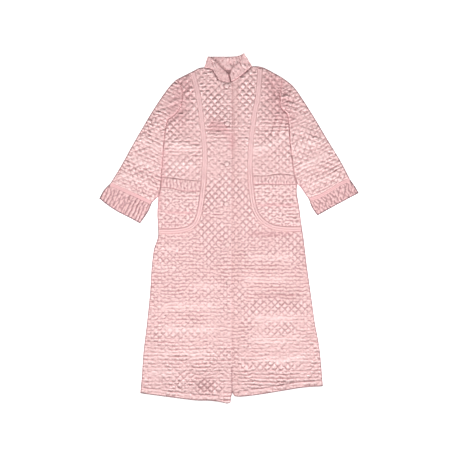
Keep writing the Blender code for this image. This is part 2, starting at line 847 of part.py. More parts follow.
# Sleeves: each a flattened tube, solid at its two folded edges and open at both ends


def arm_lines(side):
    outer, cuff_outer = seam(SLEEVE_OUTER[side]), seam(CUFF_OUTER[side])
    inner, cuff_inner = seam(SLEEVE_INNER[side]), seam(CUFF_INNER[side])
    return {
        "armhole": seam(ARMHOLE[side]),
        "outer": outer,
        "underarm": seam(UNDERARM[side]),
        "inner": inner,
        "cuff_seam": seam(CUFF_SEAM[side]),
        "cuff_outer": cuff_outer,
        "cuff_hem": seam(CUFF_HEM[side]),
        "cuff_inner": cuff_inner,
    }


def add_hollow(side, lines, height):
    # The cutter for the hollow, which runs out past the armhole and the cuff's mouth
    towards = 1 if side == "right" else -1
    outer = np.vstack([lines["outer"], lines["cuff_outer"][1:]])
    inner = np.vstack([lines["underarm"], lines["inner"][1:], lines["cuff_inner"][1:]])
    outer = beside(outer, towards * SLEEVE_EDGE)
    inner = beside(inner, -towards * SLEEVE_EDGE)
    past_armhole = lines["armhole"][1:-1] + np.array([towards * PAST_ARMHOLE, 0])
    along = (inner[-1] - inner[-3]) / np.linalg.norm(inner[-1] - inner[-3])
    past_hem = np.array([outer[-1], inner[-1]]) + along * PAST_CUFF
    loop = joined(outer, past_hem, inner[::-1], past_armhole[::-1])
    inside = plain_lattice(loop, PLAIN_STEP / 2)
    cutter = add_wall(
        f"hollow_{side}",
        loop,
        (inside, [False] * len(inside), []),
        lambda points, high: height(points),
        lambda points: np.full(len(points), BACK_WALL),
        plain_step=None,
    )
    cutter.hide_render = True
    cutter.display_type = "WIRE"
    return cutter


def cut(piece, cutter):
    modifier = piece.modifiers.new("hollow", "BOOLEAN")
    modifier.operation = "DIFFERENCE"
    modifier.solver = "EXACT"
    modifier.object = cutter


def add_arm(side):
    lines = arm_lines(side)
    edges = [
        np.vstack([lines["outer"], lines["cuff_outer"][1:]]),
        np.vstack([lines["underarm"], lines["inner"][1:], lines["cuff_inner"][1:]]),
    ]

    def hollow_top(points):
        apart = np.min([far_from(points, line) for line in edges], axis=0)
        height = SLEEVE_LOFT * ease(apart / SLEEVE_REACH) + fold_height(points, SLEEVE_FOLDS[side])
        return BACK_WALL + SLEEVE_SLOT + np.clip(height, 0, LOFT_LIMIT - SLEEVE_SLOT)

    def laid(points):
        return hollow_top(points) + FRONT_WALL + LAY_GAP

    def over_for(loop):
        return lambda points, high: hollow_top(points) + FRONT_WALL * wall_share(points, loop) + PUFF * high

    def floor(points):
        return np.zeros(len(points))

    cutter = add_hollow(side, lines, hollow_top)
    seam_line = lines["cuff_seam"]
    axis = lines["cuff_hem"].mean(axis=0) - lines["armhole"].mean(axis=0)
    angle = math.atan2(axis[1], axis[0]) + math.pi / 2
    sleeve_loop = joined(
        lines["outer"],
        seam_line,
        lines["inner"][::-1],
        lines["underarm"][::-1],
        lines["armhole"][::-1],
    )
    cuff_loop = joined(lines["cuff_outer"], lines["cuff_hem"], lines["cuff_inner"][::-1], seam_line[::-1])
    pitches = ((DIAMOND_WIDE, DIAMOND_TALL), (DIAMOND_TALL, DIAMOND_WIDE))
    half = CUFF_TAPE_WIDE / 2 + MM
    for name, loop, (wide, tall) in zip(("sleeve", "cuff"), (sleeve_loop, cuff_loop), pitches):
        loop = inset(loop, SEAM_GAP / 2)
        sideways = [beside(seam_line, half), beside(seam_line, -half)]
        near = [line for line in sideways if is_inside(line[1:-1], loop).all()]
        tape_edge = inside_part(near[0], loop, LINE_MARGIN)
        points, high, stitches = quilt_lattice(loop, angle, wide, tall, [tape_edge])
        high &= far_from(points, seam_line) > half
        inner = (points, high, stitches)
        piece = add_wall(f"{name}_{side}", loop, inner, over_for(loop), floor, lines=[tape_edge])
        cut(piece, cutter)
    whole = joined(
        *(lines[name] for name in ("outer", "cuff_outer", "cuff_hem")),
        lines["cuff_inner"][::-1],
        lines["inner"][::-1],
        lines["underarm"][::-1],
        lines["armhole"][::-1],
    )
    tape = inside_part(seam_line, whole, LINE_MARGIN)
    thick = np.full(len(tape), TAPE_WALL)
    add_ribbon(f"cuff_tape_{side}", tape, CUFF_TAPE_WIDE, laid, thick, TAPE_GROOVE)


def main():
    for thing in list(bpy.data.objects):
        bpy.data.objects.remove(thing, do_unlink=True)
    stations, necks = collar_stations()
    seams = body_seams(necks)
    loft = front_lofts(seams)
    add_back(seams, necks)
    for side in ("right", "left"):
        layout = pocket_layout(side, seams[side])
        add_front(side, seams[side], loft, layout)
        add_trims(side, seams[side], loft, layout)
        add_arm(side)
    add_buttons(add_button_strips(seams, necks))
    add_collar(stations)


main()
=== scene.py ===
# A long quilted satin housecoat, laid flat with its front up and buttoned at the top.
# Right and left are the wearer's. Right lies at -X, the collar towards +Y and the floor at z = 0.
import math
from types import SimpleNamespace

import bpy
import numpy as np
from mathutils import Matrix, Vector, kdtree
from mathutils.geometry import delaunay_2d_cdt


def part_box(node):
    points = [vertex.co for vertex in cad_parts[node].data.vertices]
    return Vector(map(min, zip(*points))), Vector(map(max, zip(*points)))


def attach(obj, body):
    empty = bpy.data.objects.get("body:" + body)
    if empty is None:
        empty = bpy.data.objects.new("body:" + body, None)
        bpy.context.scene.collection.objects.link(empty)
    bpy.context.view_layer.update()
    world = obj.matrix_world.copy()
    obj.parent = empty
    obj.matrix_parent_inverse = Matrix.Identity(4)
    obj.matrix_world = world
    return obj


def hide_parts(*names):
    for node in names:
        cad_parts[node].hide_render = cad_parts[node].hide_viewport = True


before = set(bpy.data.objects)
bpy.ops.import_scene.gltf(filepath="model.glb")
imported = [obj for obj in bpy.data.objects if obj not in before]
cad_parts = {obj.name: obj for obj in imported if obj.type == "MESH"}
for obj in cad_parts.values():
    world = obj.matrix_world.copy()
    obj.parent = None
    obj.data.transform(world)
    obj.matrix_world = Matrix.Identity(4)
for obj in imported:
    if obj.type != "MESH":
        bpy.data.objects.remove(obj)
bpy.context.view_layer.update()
mm = 0.001

# What the pieces share, as the solids have it
layers = {
    "backWall": 4.0 * mm,
    "frontWall": 3.0 * mm,
    "pocketWall": 2.6 * mm,
    "standWall": 2.5 * mm,
    "gap": 0.3 * mm,  # between pieces at a seam
    "layGap": 0.4 * mm,  # under what lies on a panel
    "loft": 2.8 * mm,  # of a front over the back, away from its seams
    "loftReach": 110 * mm,
    "loftLimit": 3.5 * mm,
    "centreReach": 70 * mm,
    "bandEdge": -39 * mm,  # across the coat, where the button band starts
    "standEdge": 39 * mm,  # and where the smooth strip ends
    "sleeveSlot": 0.5 * mm,  # between a sleeve's two layers at its edges
    "sleeveLoft": 2.4 * mm,
    "sleeveReach": 70 * mm,
    "thinnest": 0.9 * mm,  # what a fold leaves of a wall
}

# Places where seams meet, in millimetres
corners = {
    "right": {
        "neck": (-99, 629),
        "shoulder": (-206, 581),
        "armpit": (-239, 425),
        "cuffTop": (-465, 174),
        "cuffUnder": (-301, 99),
        "mouthTop": (-507, 117),
        "mouthUnder": (-347, 19),
        "hemSide": (-347, -643),
        "hemFront": (-39, -676),
        "neckFront": (-39, 579),
    },
    "left": {
        "neck": (91, 633),
        "shoulder": (205, 591),
        "armpit": (232, 418),
        "cuffTop": (473, 191),
        "cuffUnder": (312, 113),
        "mouthTop": (507, 138),
        "mouthUnder": (345, 50),
        "hemSide": (367, -616),
        "hemFront": (39, -657),
        "neckFront": (39, 591),
    },
}


# Lines and fields, worked out for many points at once


def ease(t):
    t = np.clip(t, 0, 1)
    return t * t * (3 - 2 * t)


def distances(line):
    # How far along a line each of its points lies
    return np.concatenate([[0], np.cumsum(np.linalg.norm(np.diff(line, axis=0), axis=1))])


def isNear(points, line, reach):
    # Which points lie in the line's box, grown by a reach
    return ((points > line.min(axis=0) - reach) & (points < line.max(axis=0) + reach)).all(axis=1)


def nearest(points, line):
    # How far each point is from a line, how far along the line that is, and the place on it
    tree = kdtree.KDTree(len(line))
    for number, (x, y) in enumerate(line):
        tree.insert((x, y, 0), number)
    tree.balance()
    near = np.array([tree.find((x, y, 0))[1] for x, y in points])
    before = distances(line)
    best, along, place = np.full(len(points), np.inf), np.zeros(len(points)), np.zeros((len(points), 2))
    for shift in (-1, 0):
        first = np.clip(near + shift, 0, len(line) - 2)
        start, run = line[first], line[first + 1] - line[first]
        long = np.maximum((run**2).sum(axis=1), 1e-12)
        t = np.clip(((points - start) * run).sum(axis=1) / long, 0, 1)
        foot = start + t[:, None] * run
        gap = np.linalg.norm(points - foot, axis=1)
        closer = gap < best
        best[closer], place[closer] = gap[closer], foot[closer]
        along[closer] = (before[first] + t * np.sqrt(long))[closer]
    return best, along, place


def farFrom(points, line, reach=None):
    # How far from a line. With a reach, points outside the line's box grown by it only get a long way.
    if reach is None:
        return nearest(points, line)[0]
    close = isNear(points, line, reach)
    far = np.full(len(points), 10 * reach)
    if close.any():
        far[close] = nearest(points[close], line)[0]
    return far


def isInside(points, loop, size=8000):
    ax, ay = loop.T
    bx, by = np.roll(loop, -1, axis=0).T
    slope = (bx - ax) / np.where(by == ay, 1, by - ay)
    inside = np.zeros(len(points), bool)
    tested = np.flatnonzero(isNear(points, loop, 0))
    for part in np.array_split(tested, max(1, len(tested) // size)):
        x, y = points[part, 0, None], points[part, 1, None]
        crosses = ((ay > y) != (by > y)) & (x < ax + (y - ay) * slope)
        inside[part] = crosses.sum(axis=1) % 2 == 1
    return inside


def closed(loop):
    return np.vstack([loop, loop[:1]])


def smoothCurve(points, step):
    # Points about one step apart on a smooth curve through the given ones
    points = np.asarray(points, float)
    known = np.vstack([2 * points[0] - points[1], points, 2 * points[-1] - points[-2]])
    t = np.linspace(0, 1, 16, endpoint=False)[:, None]
    dense = [
        0.5 * (2 * b + (c - a) * t + (2 * a - 5 * b + 4 * c - d) * t**2 + (3 * b - a - 3 * c + d) * t**3)
        for a, b, c, d in zip(known, known[1:], known[2:], known[3:])
    ]
    dense = np.vstack(dense + [known[-2]])
    along = distances(dense)
    at = np.linspace(0, along[-1], max(1, round(along[-1] / step)) + 1)
    return np.stack([np.interp(at, along, dense[:, k]) for k in range(dense.shape[1])], axis=1)


def lengthOf(line):
    return np.linalg.norm(np.diff(line, axis=0), axis=1).sum()


def beside(line, distance):
    run = np.gradient(line, axis=0)
    run /= np.linalg.norm(run, axis=1)[:, None]
    return line + np.stack([-run[:, 1], run[:, 0]], axis=1) * np.reshape(distance, (-1, 1))


def noise(points, size, seed):
    # Smooth noise between -1 and 1, its bumps about one size across
    at = points / size
    cell = np.floor(at)
    t = at - cell
    t = t * t * (3 - 2 * t)

    def value(dx, dy):
        n = np.sin((cell[:, 0] + dx) * 127.1 + (cell[:, 1] + dy) * 311.7 + seed * 74.7) * 43758.5453
        return 2 * (n - np.floor(n)) - 1

    low = value(0, 0) * (1 - t[:, 0]) + value(1, 0) * t[:, 0]
    high = value(0, 1) * (1 - t[:, 0]) + value(1, 1) * t[:, 0]
    return low * (1 - t[:, 1]) + high * t[:, 1]


def turnedBy(angle):
    return np.array([[math.cos(angle), math.sin(angle)], [-math.sin(angle), math.cos(angle)]])


def areaOf(loop):
    x, y = loop.T
    return ((x * np.roll(y, -1) - np.roll(x, -1) * y).sum()) / 2


# Outlines, read from the solids


def cornersOf(loop, sharpest=35):
    run = np.roll(loop, -1, axis=0) - loop
    heading = np.arctan2(run[:, 1], run[:, 0])
    turn = np.degrees(np.angle(np.exp(1j * (heading - np.roll(heading, 1)))))
    return np.flatnonzero(np.abs(turn) > sharpest)


def ringsOf(sides):
    # The closed rings that one-sided edges make, each as a list of points
    following = dict(sides)
    rings = []
    while following:
        first, at = following.popitem()
        ring = [first]
        while at in following:
            ring.append(at)
            at = following.pop(at)
        if at == first:
            rings.append(ring)
    return rings


def outlineOf(node, step=4 * mm):
    # The rim of a wall's upper face, anticlockwise, smooth between its corners
    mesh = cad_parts[node].data
    places = np.array([v.co for v in mesh.vertices])
    places, number = np.unique(places.round(5), axis=0, return_inverse=True)
    number = number.reshape(-1)
    sides = set()
    for face in mesh.polygons:
        if face.normal.z > 0.05:
            ring = [number[v] for v in face.vertices]
            sides |= set(zip(ring, ring[1:] + ring[:1]))
    rings = ringsOf((a, b) for a, b in sides if (b, a) not in sides)
    best = max((places[ring][:, :2] for ring in rings), key=areaOf)
    sharp = cornersOf(best)
    ring = closed(np.roll(best, -sharp[0], axis=0))
    ends = list(sharp - sharp[0]) + [len(best)]
    return np.vstack([smoothCurve(ring[a : b + 1], step)[:-1] for a, b in zip(ends, ends[1:])])


def stretchOf(loop, start, end):
    # The shorter way round a loop between the points nearest to two places in millimetres
    a, b = (np.linalg.norm(loop - np.multiply(place, mm), axis=1).argmin() for place in (start, end))
    one = np.roll(loop, -a, axis=0)[: (b - a) % len(loop) + 1]
    other = np.roll(loop, -b, axis=0)[: (a - b) % len(loop) + 1][::-1]
    return min((one, other), key=lengthOf)


print("outlines")
panels = ["back", "button_band", "button_stand"]
twoSided = ("front", "sleeve", "cuff", "pocket", "pocket_band")
panels += [f"{part}_{side}" for part in twoSided for side in corners]
outlines = {node: outlineOf(node) for node in panels}
buttons = range(1, 7)


# Finishes


class Wire:
    # One output of a node, so that shader maths reads as plain Python
    def __init__(self, finish, socket):
        self.finish, self.socket = finish, socket

    def math(self, operation, first, second=None, clamp=False):
        sockets = {0: first} if second is None else {0: first, 1: second}
        return self.finish.node("ShaderNodeMath", {"operation": operation, "use_clamp": clamp}, sockets)

    def __add__(self, other):
        return self.math("ADD", self, other)

    def __sub__(self, other):
        return self.math("SUBTRACT", self, other)

    def __rsub__(self, other):
        return self.math("SUBTRACT", other, self)

    def __mul__(self, other):
        return self.math("MULTIPLY", self, other)

    def __lt__(self, other):
        return self.math("LESS_THAN", self, other)

    def fraction(self):
        return self.math("FRACT", self)

    def size(self):
        return self.math("ABSOLUTE", self)

    def clamped(self):
        return self.math("ADD", self, 0, clamp=True)

    __radd__ = __add__
    __rmul__ = __mul__


class Finish:
    # A material, with the one way that its nodes are made
    def __init__(self, name):
        self.material = bpy.data.materials.new(name)
        self.material.use_nodes = True
        self.tree = self.material.node_tree
        self.shader = self.tree.nodes["Principled BSDF"]

    def connect(self, socket, value):
        if isinstance(value, Wire):
            self.tree.links.new(value.socket, socket)
        else:
            socket.default_value = value

    def node(self, kind, settings, sockets, out=0):
        made = self.tree.nodes.new(kind)
        for name, value in settings.items():
            setattr(made, name, value)
        for name, value in sockets.items():
            self.connect(made.inputs[name], value)
        return Wire(self, made.outputs[out])

    def mix(self, share, first, second):
        return self.node("ShaderNodeMix", {"data_type": "RGBA"}, {0: share, 6: first, 7: second}, 2)

    def attribute(self, name, out=2):
        return self.node("ShaderNodeAttribute", {"attribute_name": name}, {}, out)

    def noise(self, scale, detail=2.0, stretch=(1, 1, 1)):
        place = self.node("ShaderNodeTexCoord", {}, {}, 3)
        place = self.node("ShaderNodeMapping", {}, {"Vector": place, "Scale": stretch})
        return self.node("ShaderNodeTexNoise", {}, {"Vector": place, "Scale": scale, "Detail": detail})

    def fix(self, **sockets):
        for name, value in sockets.items():
            self.connect(self.shader.inputs[name.replace("_", " ")], value)


satinLook = {
    "sheen": 0.12,
    "sheenRoughness": 0.35,
    "sheenTint": (1.0, 0.86, 0.86, 1),
    "gloss": 0.42,
    "valleyRough": 0.14,  # how much duller the valleys are
    "rose": (0.73, 0.40, 0.415),
    "roseShare": 0.8,
    "edge": (0.13, 0.075, 0.085),  # the painted shade of the outer edges, and a little of it in the cuffs' valleys
    "patchScale": 9.0,  # of faint changes of colour over the panels
    "patchShare": 0.22,
    "mottleScale": 75.0,
    "mottleShare": 0.16,
    "threadScale": 950.0,
    "threadHigh": 0.05 * mm,
    "stitchHalfWidth": 0.016,  # as shares of the lattice
    "stitchesPerSide": 5.0,
    "stitchHalfLong": 0.34,  # as a share of one stitch and the gap after it
    "stitchPale": 0.35,
    "stitchHigh": 0.2 * mm,
    "bump": 0.6,
}
# The colours of crests, slopes and valleys, the crests' a painted highlight and the valleys' a painted
# shade, and how rough the crests are
satins = {
    "quiltedSatin": ((0.87, 0.64, 0.63), (0.75, 0.49, 0.485), (0.48, 0.26, 0.265), 0.31),
    "plainSatin": ((0.83, 0.58, 0.57), (0.74, 0.475, 0.47), (0.50, 0.28, 0.28), 0.31),
    "tapeSatin": ((0.82, 0.58, 0.575), (0.75, 0.49, 0.485), (0.52, 0.29, 0.295), 0.31),
    "buttonSatin": ((0.80, 0.57, 0.56), (0.70, 0.44, 0.44), (0.30, 0.15, 0.15), 0.25),
}


def satin(name, stitched=False):
    *colours, rough = satins[name]
    shared = satinLook
    pale, middle, deep = ((*colour, 1) for colour in colours)
    finish = Finish(name)
    # Painted shade and highlight: the mesh's shade value runs from nothing on a crest, drawn paler, to one
    # in a valley, drawn deeper, and over one into the outer edges' painted shade
    depth = finish.attribute("paintedShade")
    patches = finish.noise(shared["patchScale"], 3.0)
    mottle = finish.noise(shared["mottleScale"], 3.0)
    thread = finish.noise(shared["threadScale"], 1.0, (1, 5, 1))
    # Painted shade where the shade value is over one: the dark colour of the outer edges
    edgeShade = (depth - 1).clamped()
    depth = depth + (patches - 0.5) * shared["patchShare"] + (mottle - 0.5) * shared["mottleShare"]
    depth = depth.clamped()
    light = finish.mix((depth * 2).clamped(), pale, middle)
    colour = finish.mix((depth * 2 - 1).clamped(), light, deep)
    colour = finish.mix(finish.attribute("rose") * shared["roseShare"], colour, (*shared["rose"], 1))
    colour = finish.mix(edgeShade, colour, (*shared["edge"], 1))
    relief = thread * shared["threadHigh"]
    if stitched:
        lattice = finish.attribute("lattice", 1)
        ways = [finish.node("ShaderNodeSeparateXYZ", {}, {0: lattice}, k) for k in (0, 1)]
        marks = []
        for line, along in (ways, ways[::-1]):
            near = ((line + 0.5).fraction() - 0.5).size() < shared["stitchHalfWidth"]
            dash = ((along * shared["stitchesPerSide"]).fraction() - 0.5).size() < shared["stitchHalfLong"]
            marks.append(near * dash)
        stitch = (marks[0] + marks[1]).clamped()
        colour = finish.mix(stitch * shared["stitchPale"], colour, pale)
        relief = relief + stitch * shared["stitchHigh"]
    settings = {"Strength": shared["bump"], "Distance": 1.0, "Height": relief}
    bump = finish.node("ShaderNodeBump", {}, settings)
    finish.fix(Base_Color=colour, Normal=bump, Roughness=depth * shared["valleyRough"] + rough)
    finish.fix(Specular_IOR_Level=shared["gloss"], Sheen_Weight=shared["sheen"])
    finish.fix(Sheen_Roughness=shared["sheenRoughness"], Sheen_Tint=shared["sheenTint"])
    return finish.material


print("finishes")
finishes = {name: satin(name, stitched=name == "quiltedSatin") for name in satins}


# Quilting: a relief over the lattice of diamonds

quilt = {
    "wide": 27.0 * mm,
    "tall": 28.5 * mm,
    "fine": 6,  # steps of the mesh in half a diamond
    "drift": 2.6 * mm,  # how far the rows wander, over long stretches
    "driftSize": 90 * mm,
    "wobble": 1.3 * mm,  # and over short ones
    "wobbleSize": 33 * mm,
    "roundness": 0.75,
    "slip": 0.07,  # how far the puffs' tops have moved, as a share of a diamond
    "slipTurn": -220 * mm,  # where along the coat they move neither way
    "slipReach": 150 * mm,
    "below": 0.35,  # how much higher the puffs are below the pockets
    "belowFrom": 30 * mm,
    "belowReach": 180 * mm,
    "lean": 0.3,  # how much deeper the stitch lines that run one way can pull
    "leanSize": 58 * mm,
    "calmSize": 70 * mm,  # of the places where the puffs are flatter
    "uneven": 0.42,
    "tilt": 0.45,
    "crush": 1.5 * mm,  # soft creases across the diamonds
    "crushSize": 6.5 * mm,
    "crushLong": 2.6,
    "facets": 0.9,  # how much of a puff is a plain pyramid
    "cavity": 1.5 * mm,  # how much lower than its surroundings the deepest painted shade lies
    "cavitySteps": 4,  # of the mesh, to the surroundings
    "plainInsideShade": 1.15,  # the plain insides' painted shade, as deep as the valleys with a little of the outer edges' painted shade
    "plainRose": 0.4,
}
# How far ridges wander, how round they are and how far they lean, by whether they run along the coat
rowLook = {
    False: {"wander": 0.16, "power": 0.7, "lean": 1.1},
    True: {"wander": 0.3, "power": 1.2, "lean": 0.0},
}

ridges = {
    "above": 0.5,  # how far the rows are pushed together over the chest
    "below": 0.3,  # and how much further below it
    "belowReach": 200 * mm,
    "uneven": ((0.38, 80 * mm, 3), (0.3, 38 * mm, 4)),  # how much, how wide and the seed
}
# Places where rows of diamonds are pushed together into ridges, or where they stay clear:
# x, y, how wide and how tall in millimetres, and how far they are pushed
pushed = [
    (-158, -197, 276, 133, 0.8),
    (170, -192, 277, 140, 0.95),
    (-172, -367, 290, 90, 0.75),
    (-224, -500, 220, 100, 0.85),
    (195, -480, 320, 60, 0.8),
    (-39, 371, 110, 110, 0.85),
    (-176, 310, 130, 80, 0.8),
    (-45, 60, 90, 60, 0.7),
    (-41, 484, 113, 105, 0.05),
    (68, 505, 82, 148, 0.1),
    (90, 35, 101, 105, 0.05),
    (-176, 224, 148, 94, 0.1),
    (172, -312, 242, 58, 0.1),
    (189, -390, 136, 58, 0.1),
    (-76, -620, 113, 58, 0.1),
    (179, -536, 234, 34, 0.2),
    (-148, -410, 257, 32, 0.2),
    (-74, 130, 62, 117, 0.2),
    (55, 200, 55, 214, 0.2),
    (183, 287, 109, 156, 0.3),
    (166, 520, 92, 150, 0.2),
    (-160, 520, 90, 120, 0.3),
    (175, 60, 150, 90, 0.6),
]


def ridging(points):
    total = ridges["above"] + ridges["below"] * ease(-points[:, 1] / ridges["belowReach"])
    for share, size, seed in ridges["uneven"]:
        total = total + share * noise(points, size, seed)
    for x, y, wide, tall, share in pushed:
        off = (points - np.array([x, y]) * mm) / (np.array([wide, tall]) * mm / 2)
        here = ease(1.9 - 1.3 * np.linalg.norm(off, axis=1))
        total = total * (1 - here) + share * here
    return np.clip(total, 0.03, 0.95)


def arch(t, power, peak=0.5):
    # Nothing on each stitch line and one at the peak between two
    share = t - np.floor(t)
    share = np.where(share < peak, share / peak, 1 + (share - peak) / (1 - peak)) / 2
    return (4 * share * (1 - share)) ** power


def tent(t, peak):
    share = t - np.floor(t)
    return np.where(share < peak, share / peak, (1 - share) / (1 - peak))


def fuller(points):
    # How much higher the puffs are below the pockets
    return 1 + quilt["below"] * ease((quilt["belowFrom"] - points[:, 1]) / quilt["belowReach"])


def quilting(grid, share, across=False):
    # The relief, from nothing on the stitches to about one
    p, q, points, rows = grid.p, grid.q, grid.points, rowLook[across]
    lean = quilt["lean"] * np.clip(1.5 * noise(points, quilt["leanSize"], 41), -1, 1)
    calm = np.clip(0.85 + 0.5 * noise(points, quilt["calmSize"], 43), 0.4, 1.15)
    # The wadding has slipped: the puffs are steeper on their upper sides above, on their lower ones below
    slip = quilt["slip"] * np.clip((points[:, 1] - quilt["slipTurn"]) / quilt["slipReach"], -1, 1)
    diamond = arch(p, quilt["roundness"] * (1 + lean), 0.5 + slip)
    diamond = diamond * arch(q, quilt["roundness"] * (1 - lean), 0.5 - slip)
    pyramid = np.minimum(tent(p, 0.5 + slip), tent(q, 0.5 - slip))
    diamond = diamond * (1 - quilt["facets"]) + pyramid * quilt["facets"]
    # Ridges run along rows, each a little higher or lower than the next
    row, other = (p + q, p - q) if across else (p - q, p + q)
    row = row + rows["wander"] * noise(np.stack([other * 0.9, row * 0.35], axis=1), 1.0, 51)
    ridge = arch(row, rows["power"], 0.5 - rows["lean"] * slip)
    ridge = ridge * (0.8 + 0.3 * noise(np.stack([other * 1.3, row * 2], axis=1), 1.0, 52))
    ridge = ridge * (0.85 + 0.4 * noise(np.stack([other * 0.22, np.floor(row) + 0.5], axis=1), 1.0, 53))
    relief = diamond * (1 - share) + ridge * (0.65 + 0.35 * diamond**0.4) * share
    # No two diamonds are quite alike
    cell = np.stack([np.floor(p), np.floor(q)], axis=1) + 0.5
    middle = np.stack([p, q], axis=1) - cell
    tilt = middle[:, 0] * noise(cell, 1.0, 6) + middle[:, 1] * noise(cell, 1.0, 7)
    uneven = 1 + quilt["uneven"] * noise(cell, 1.0, 5) + 2 * quilt["tilt"] * tilt
    return relief * calm * fuller(points) * uneven


def creases(grid, across=False):
    # Fine soft creases, longer along the rows than across them
    size = quilt["crushSize"]
    along = grid.local * ((quilt["crushLong"], 1) if across else (1, quilt["crushLong"]))
    slanted = grid.local @ turnedBy(0.7) * (1, 2.2)
    first = noise(along / 2, size, 61)
    second = noise(slanted / 1.6, size, 62) * ease(noise(grid.points, 80 * mm, 63) + 0.5)
    third = noise(along, size * 0.7, 64)
    return quilt["crush"] * fuller(grid.points) * (0.8 * first + 0.7 * second + 0.35 * third)


class Grid:
    # A mesh of quads inside an outline, along the lattice of diamonds, with its rim on the outline
    def __init__(self, outline, angle=0.0, wide=quilt["wide"], tall=quilt["tall"], fine=quilt["fine"]):
        self.outline, self.turn, self.size = outline, turnedBy(angle), (wide, tall)
        local = outline @ self.turn.T
        step = np.array([wide, tall]) / 2 / fine
        low = np.floor(local.min(axis=0) / step).astype(int) - 3
        top = np.ceil(local.max(axis=0) / step).astype(int) + 3
        i, j = np.meshgrid(np.arange(low[0], top[0]), np.arange(low[1], top[1]), indexing="ij")
        flat = (np.stack([i, j], axis=2) * step).reshape(-1, 2) @ self.turn
        wander = np.zeros_like(flat)
        for axis in (0, 1):
            wander[:, axis] += quilt["drift"] * noise(flat, quilt["driftSize"], 11 + axis)
            wander[:, axis] += quilt["wobble"] * noise(flat, quilt["wobbleSize"], 13 + axis)
        flat += wander
        number = np.arange(i.size).reshape(i.shape)
        quads = np.stack([number[:-1, :-1], number[1:, :-1], number[1:, 1:], number[:-1, 1:]], axis=2)
        middles = flat[quads.reshape(-1, 4)].mean(axis=1)
        keep = self.tidied(isInside(middles, outline).reshape(quads.shape[:2]))
        used, at = np.unique(quads[keep], return_inverse=True)
        self.quads = at.reshape(-1, 4)
        self.points = flat[used]
        i, j = i.reshape(-1)[used] / 2 / fine, j.reshape(-1)[used] / 2 / fine
        self.p, self.q = i + j, i - j
        pairs = np.vstack([self.quads[:, [k, (k + 1) % 4]] for k in range(4)])
        count = len(self.points)
        lone = ~np.isin(pairs[:, 0] * count + pairs[:, 1], pairs[:, 1] * count + pairs[:, 0])
        self.pairs = pairs
        self.rim = np.array(max(ringsOf(pairs[lone].tolist()), key=len))
        self.settle()
        self.far, self.along, _ = nearest(self.points, closed(outline))
        self.local = self.points @ self.turn.T
        self.toneAndShade = np.zeros(len(self.points))  # how much deeper its colour is: its own tone, painted shade by its seams, in folds and under the lamp, and painted highlight on fold crests
        self.rose = np.zeros(len(self.points))  # and how much pinker
        self.edgeShade = np.zeros(len(self.points))  # how much of it takes the painted shade of an outer edge
        self.contrast = 1.0  # how strong the painted shade of its valleys and the painted highlight of its crests are
        self.deepest = 1.0

    def tidied(self, keep):
        # Drops cells that hang on by one side or by a corner
        for _ in range(4):
            grown = np.pad(keep, 1).astype(int)
            sides = grown[:-2, 1:-1] + grown[2:, 1:-1] + grown[1:-1, :-2] + grown[1:-1, 2:]
            keep = keep & (sides >= 2)
            a, b, c, d = keep[:-1, :-1], keep[1:, :-1], keep[:-1, 1:], keep[1:, 1:]
            one, other = a & d & ~b & ~c, b & c & ~a & ~d
            keep[:-1, :-1] &= ~one
            keep[1:, :-1] &= ~other
        return keep

    def spread(self, values):
        # The mean of each point's neighbours
        total = count = 0
        for here, there in (self.pairs.T, self.pairs.T[::-1]):
            count = count + np.bincount(here, minlength=len(values))
            total = total + np.bincount(here, values[there], len(values))
        return total / count

    def settle(self):
        # Puts the rim on the outline, with a point in each corner, and evens out the cells beside it
        rim, points = self.rim, self.points
        before = points[rim].copy()
        points[rim] = nearest(before, closed(self.outline))[2]
        for corner in self.outline[cornersOf(self.outline)]:
            points[rim[np.linalg.norm(before - corner, axis=1).argmin()]] = corner
        near = np.zeros(len(points), bool)
        near[rim] = True
        isRim = near.copy()
        for _ in range(2):
            near[self.pairs[near[self.pairs].any(axis=1)].reshape(-1)] = True
        move = near & ~isRim
        for _ in range(3):
            for axis in (0, 1):
                points[move, axis] = (self.spread(points[:, axis])[move] + points[move, axis]) / 2

    def depth(self, height):
        # How deep each point lies among its neighbours, from nothing on a crest to one: the painted shade
        # of its colour
        around = height
        for _ in range(quilt["cavitySteps"]):
            around = self.spread(around)
        return np.clip(0.5 + self.contrast * (around - height) / quilt["cavity"] / 2, 0, 1)

    def latticeAt(self, points):
        local = points @ self.turn.T / self.size
        return np.stack([local.sum(axis=1), local[:, 0] - local[:, 1]], axis=1)


def plainSide(rimPoints, step):
    # Triangles over a rim, with a few points inside: the points, the faces and where each rim point went
    low, top = rimPoints.min(axis=0), rimPoints.max(axis=0)
    xs, ys = np.arange(low[0] + step / 2, top[0], step), np.arange(low[1] + step / 2, top[1], step)
    inner = np.array([(x, y) for x in xs for y in ys]).reshape(-1, 2)
    inner = inner[isInside(inner, rimPoints)]
    inner = inner[farFrom(inner, closed(rimPoints)) > step / 3] if len(inner) else inner
    given = [Vector(place) for place in np.vstack([rimPoints, inner])]
    found = delaunay_2d_cdt(given, [], [list(range(len(rimPoints)))], 1, 1e-7)
    places = np.array([tuple(place) for place in found[0]])
    went = {k: new for new, old in enumerate(found[3]) for k in old}
    faces = []
    for face in found[2]:
        a, b, c = places[list(face)]
        turning = (b[0] - a[0]) * (c[1] - a[1]) - (b[1] - a[1]) * (c[0] - a[0])
        faces.append(tuple(face) if turning > 0 else tuple(face)[::-1])
    return places, faces, went


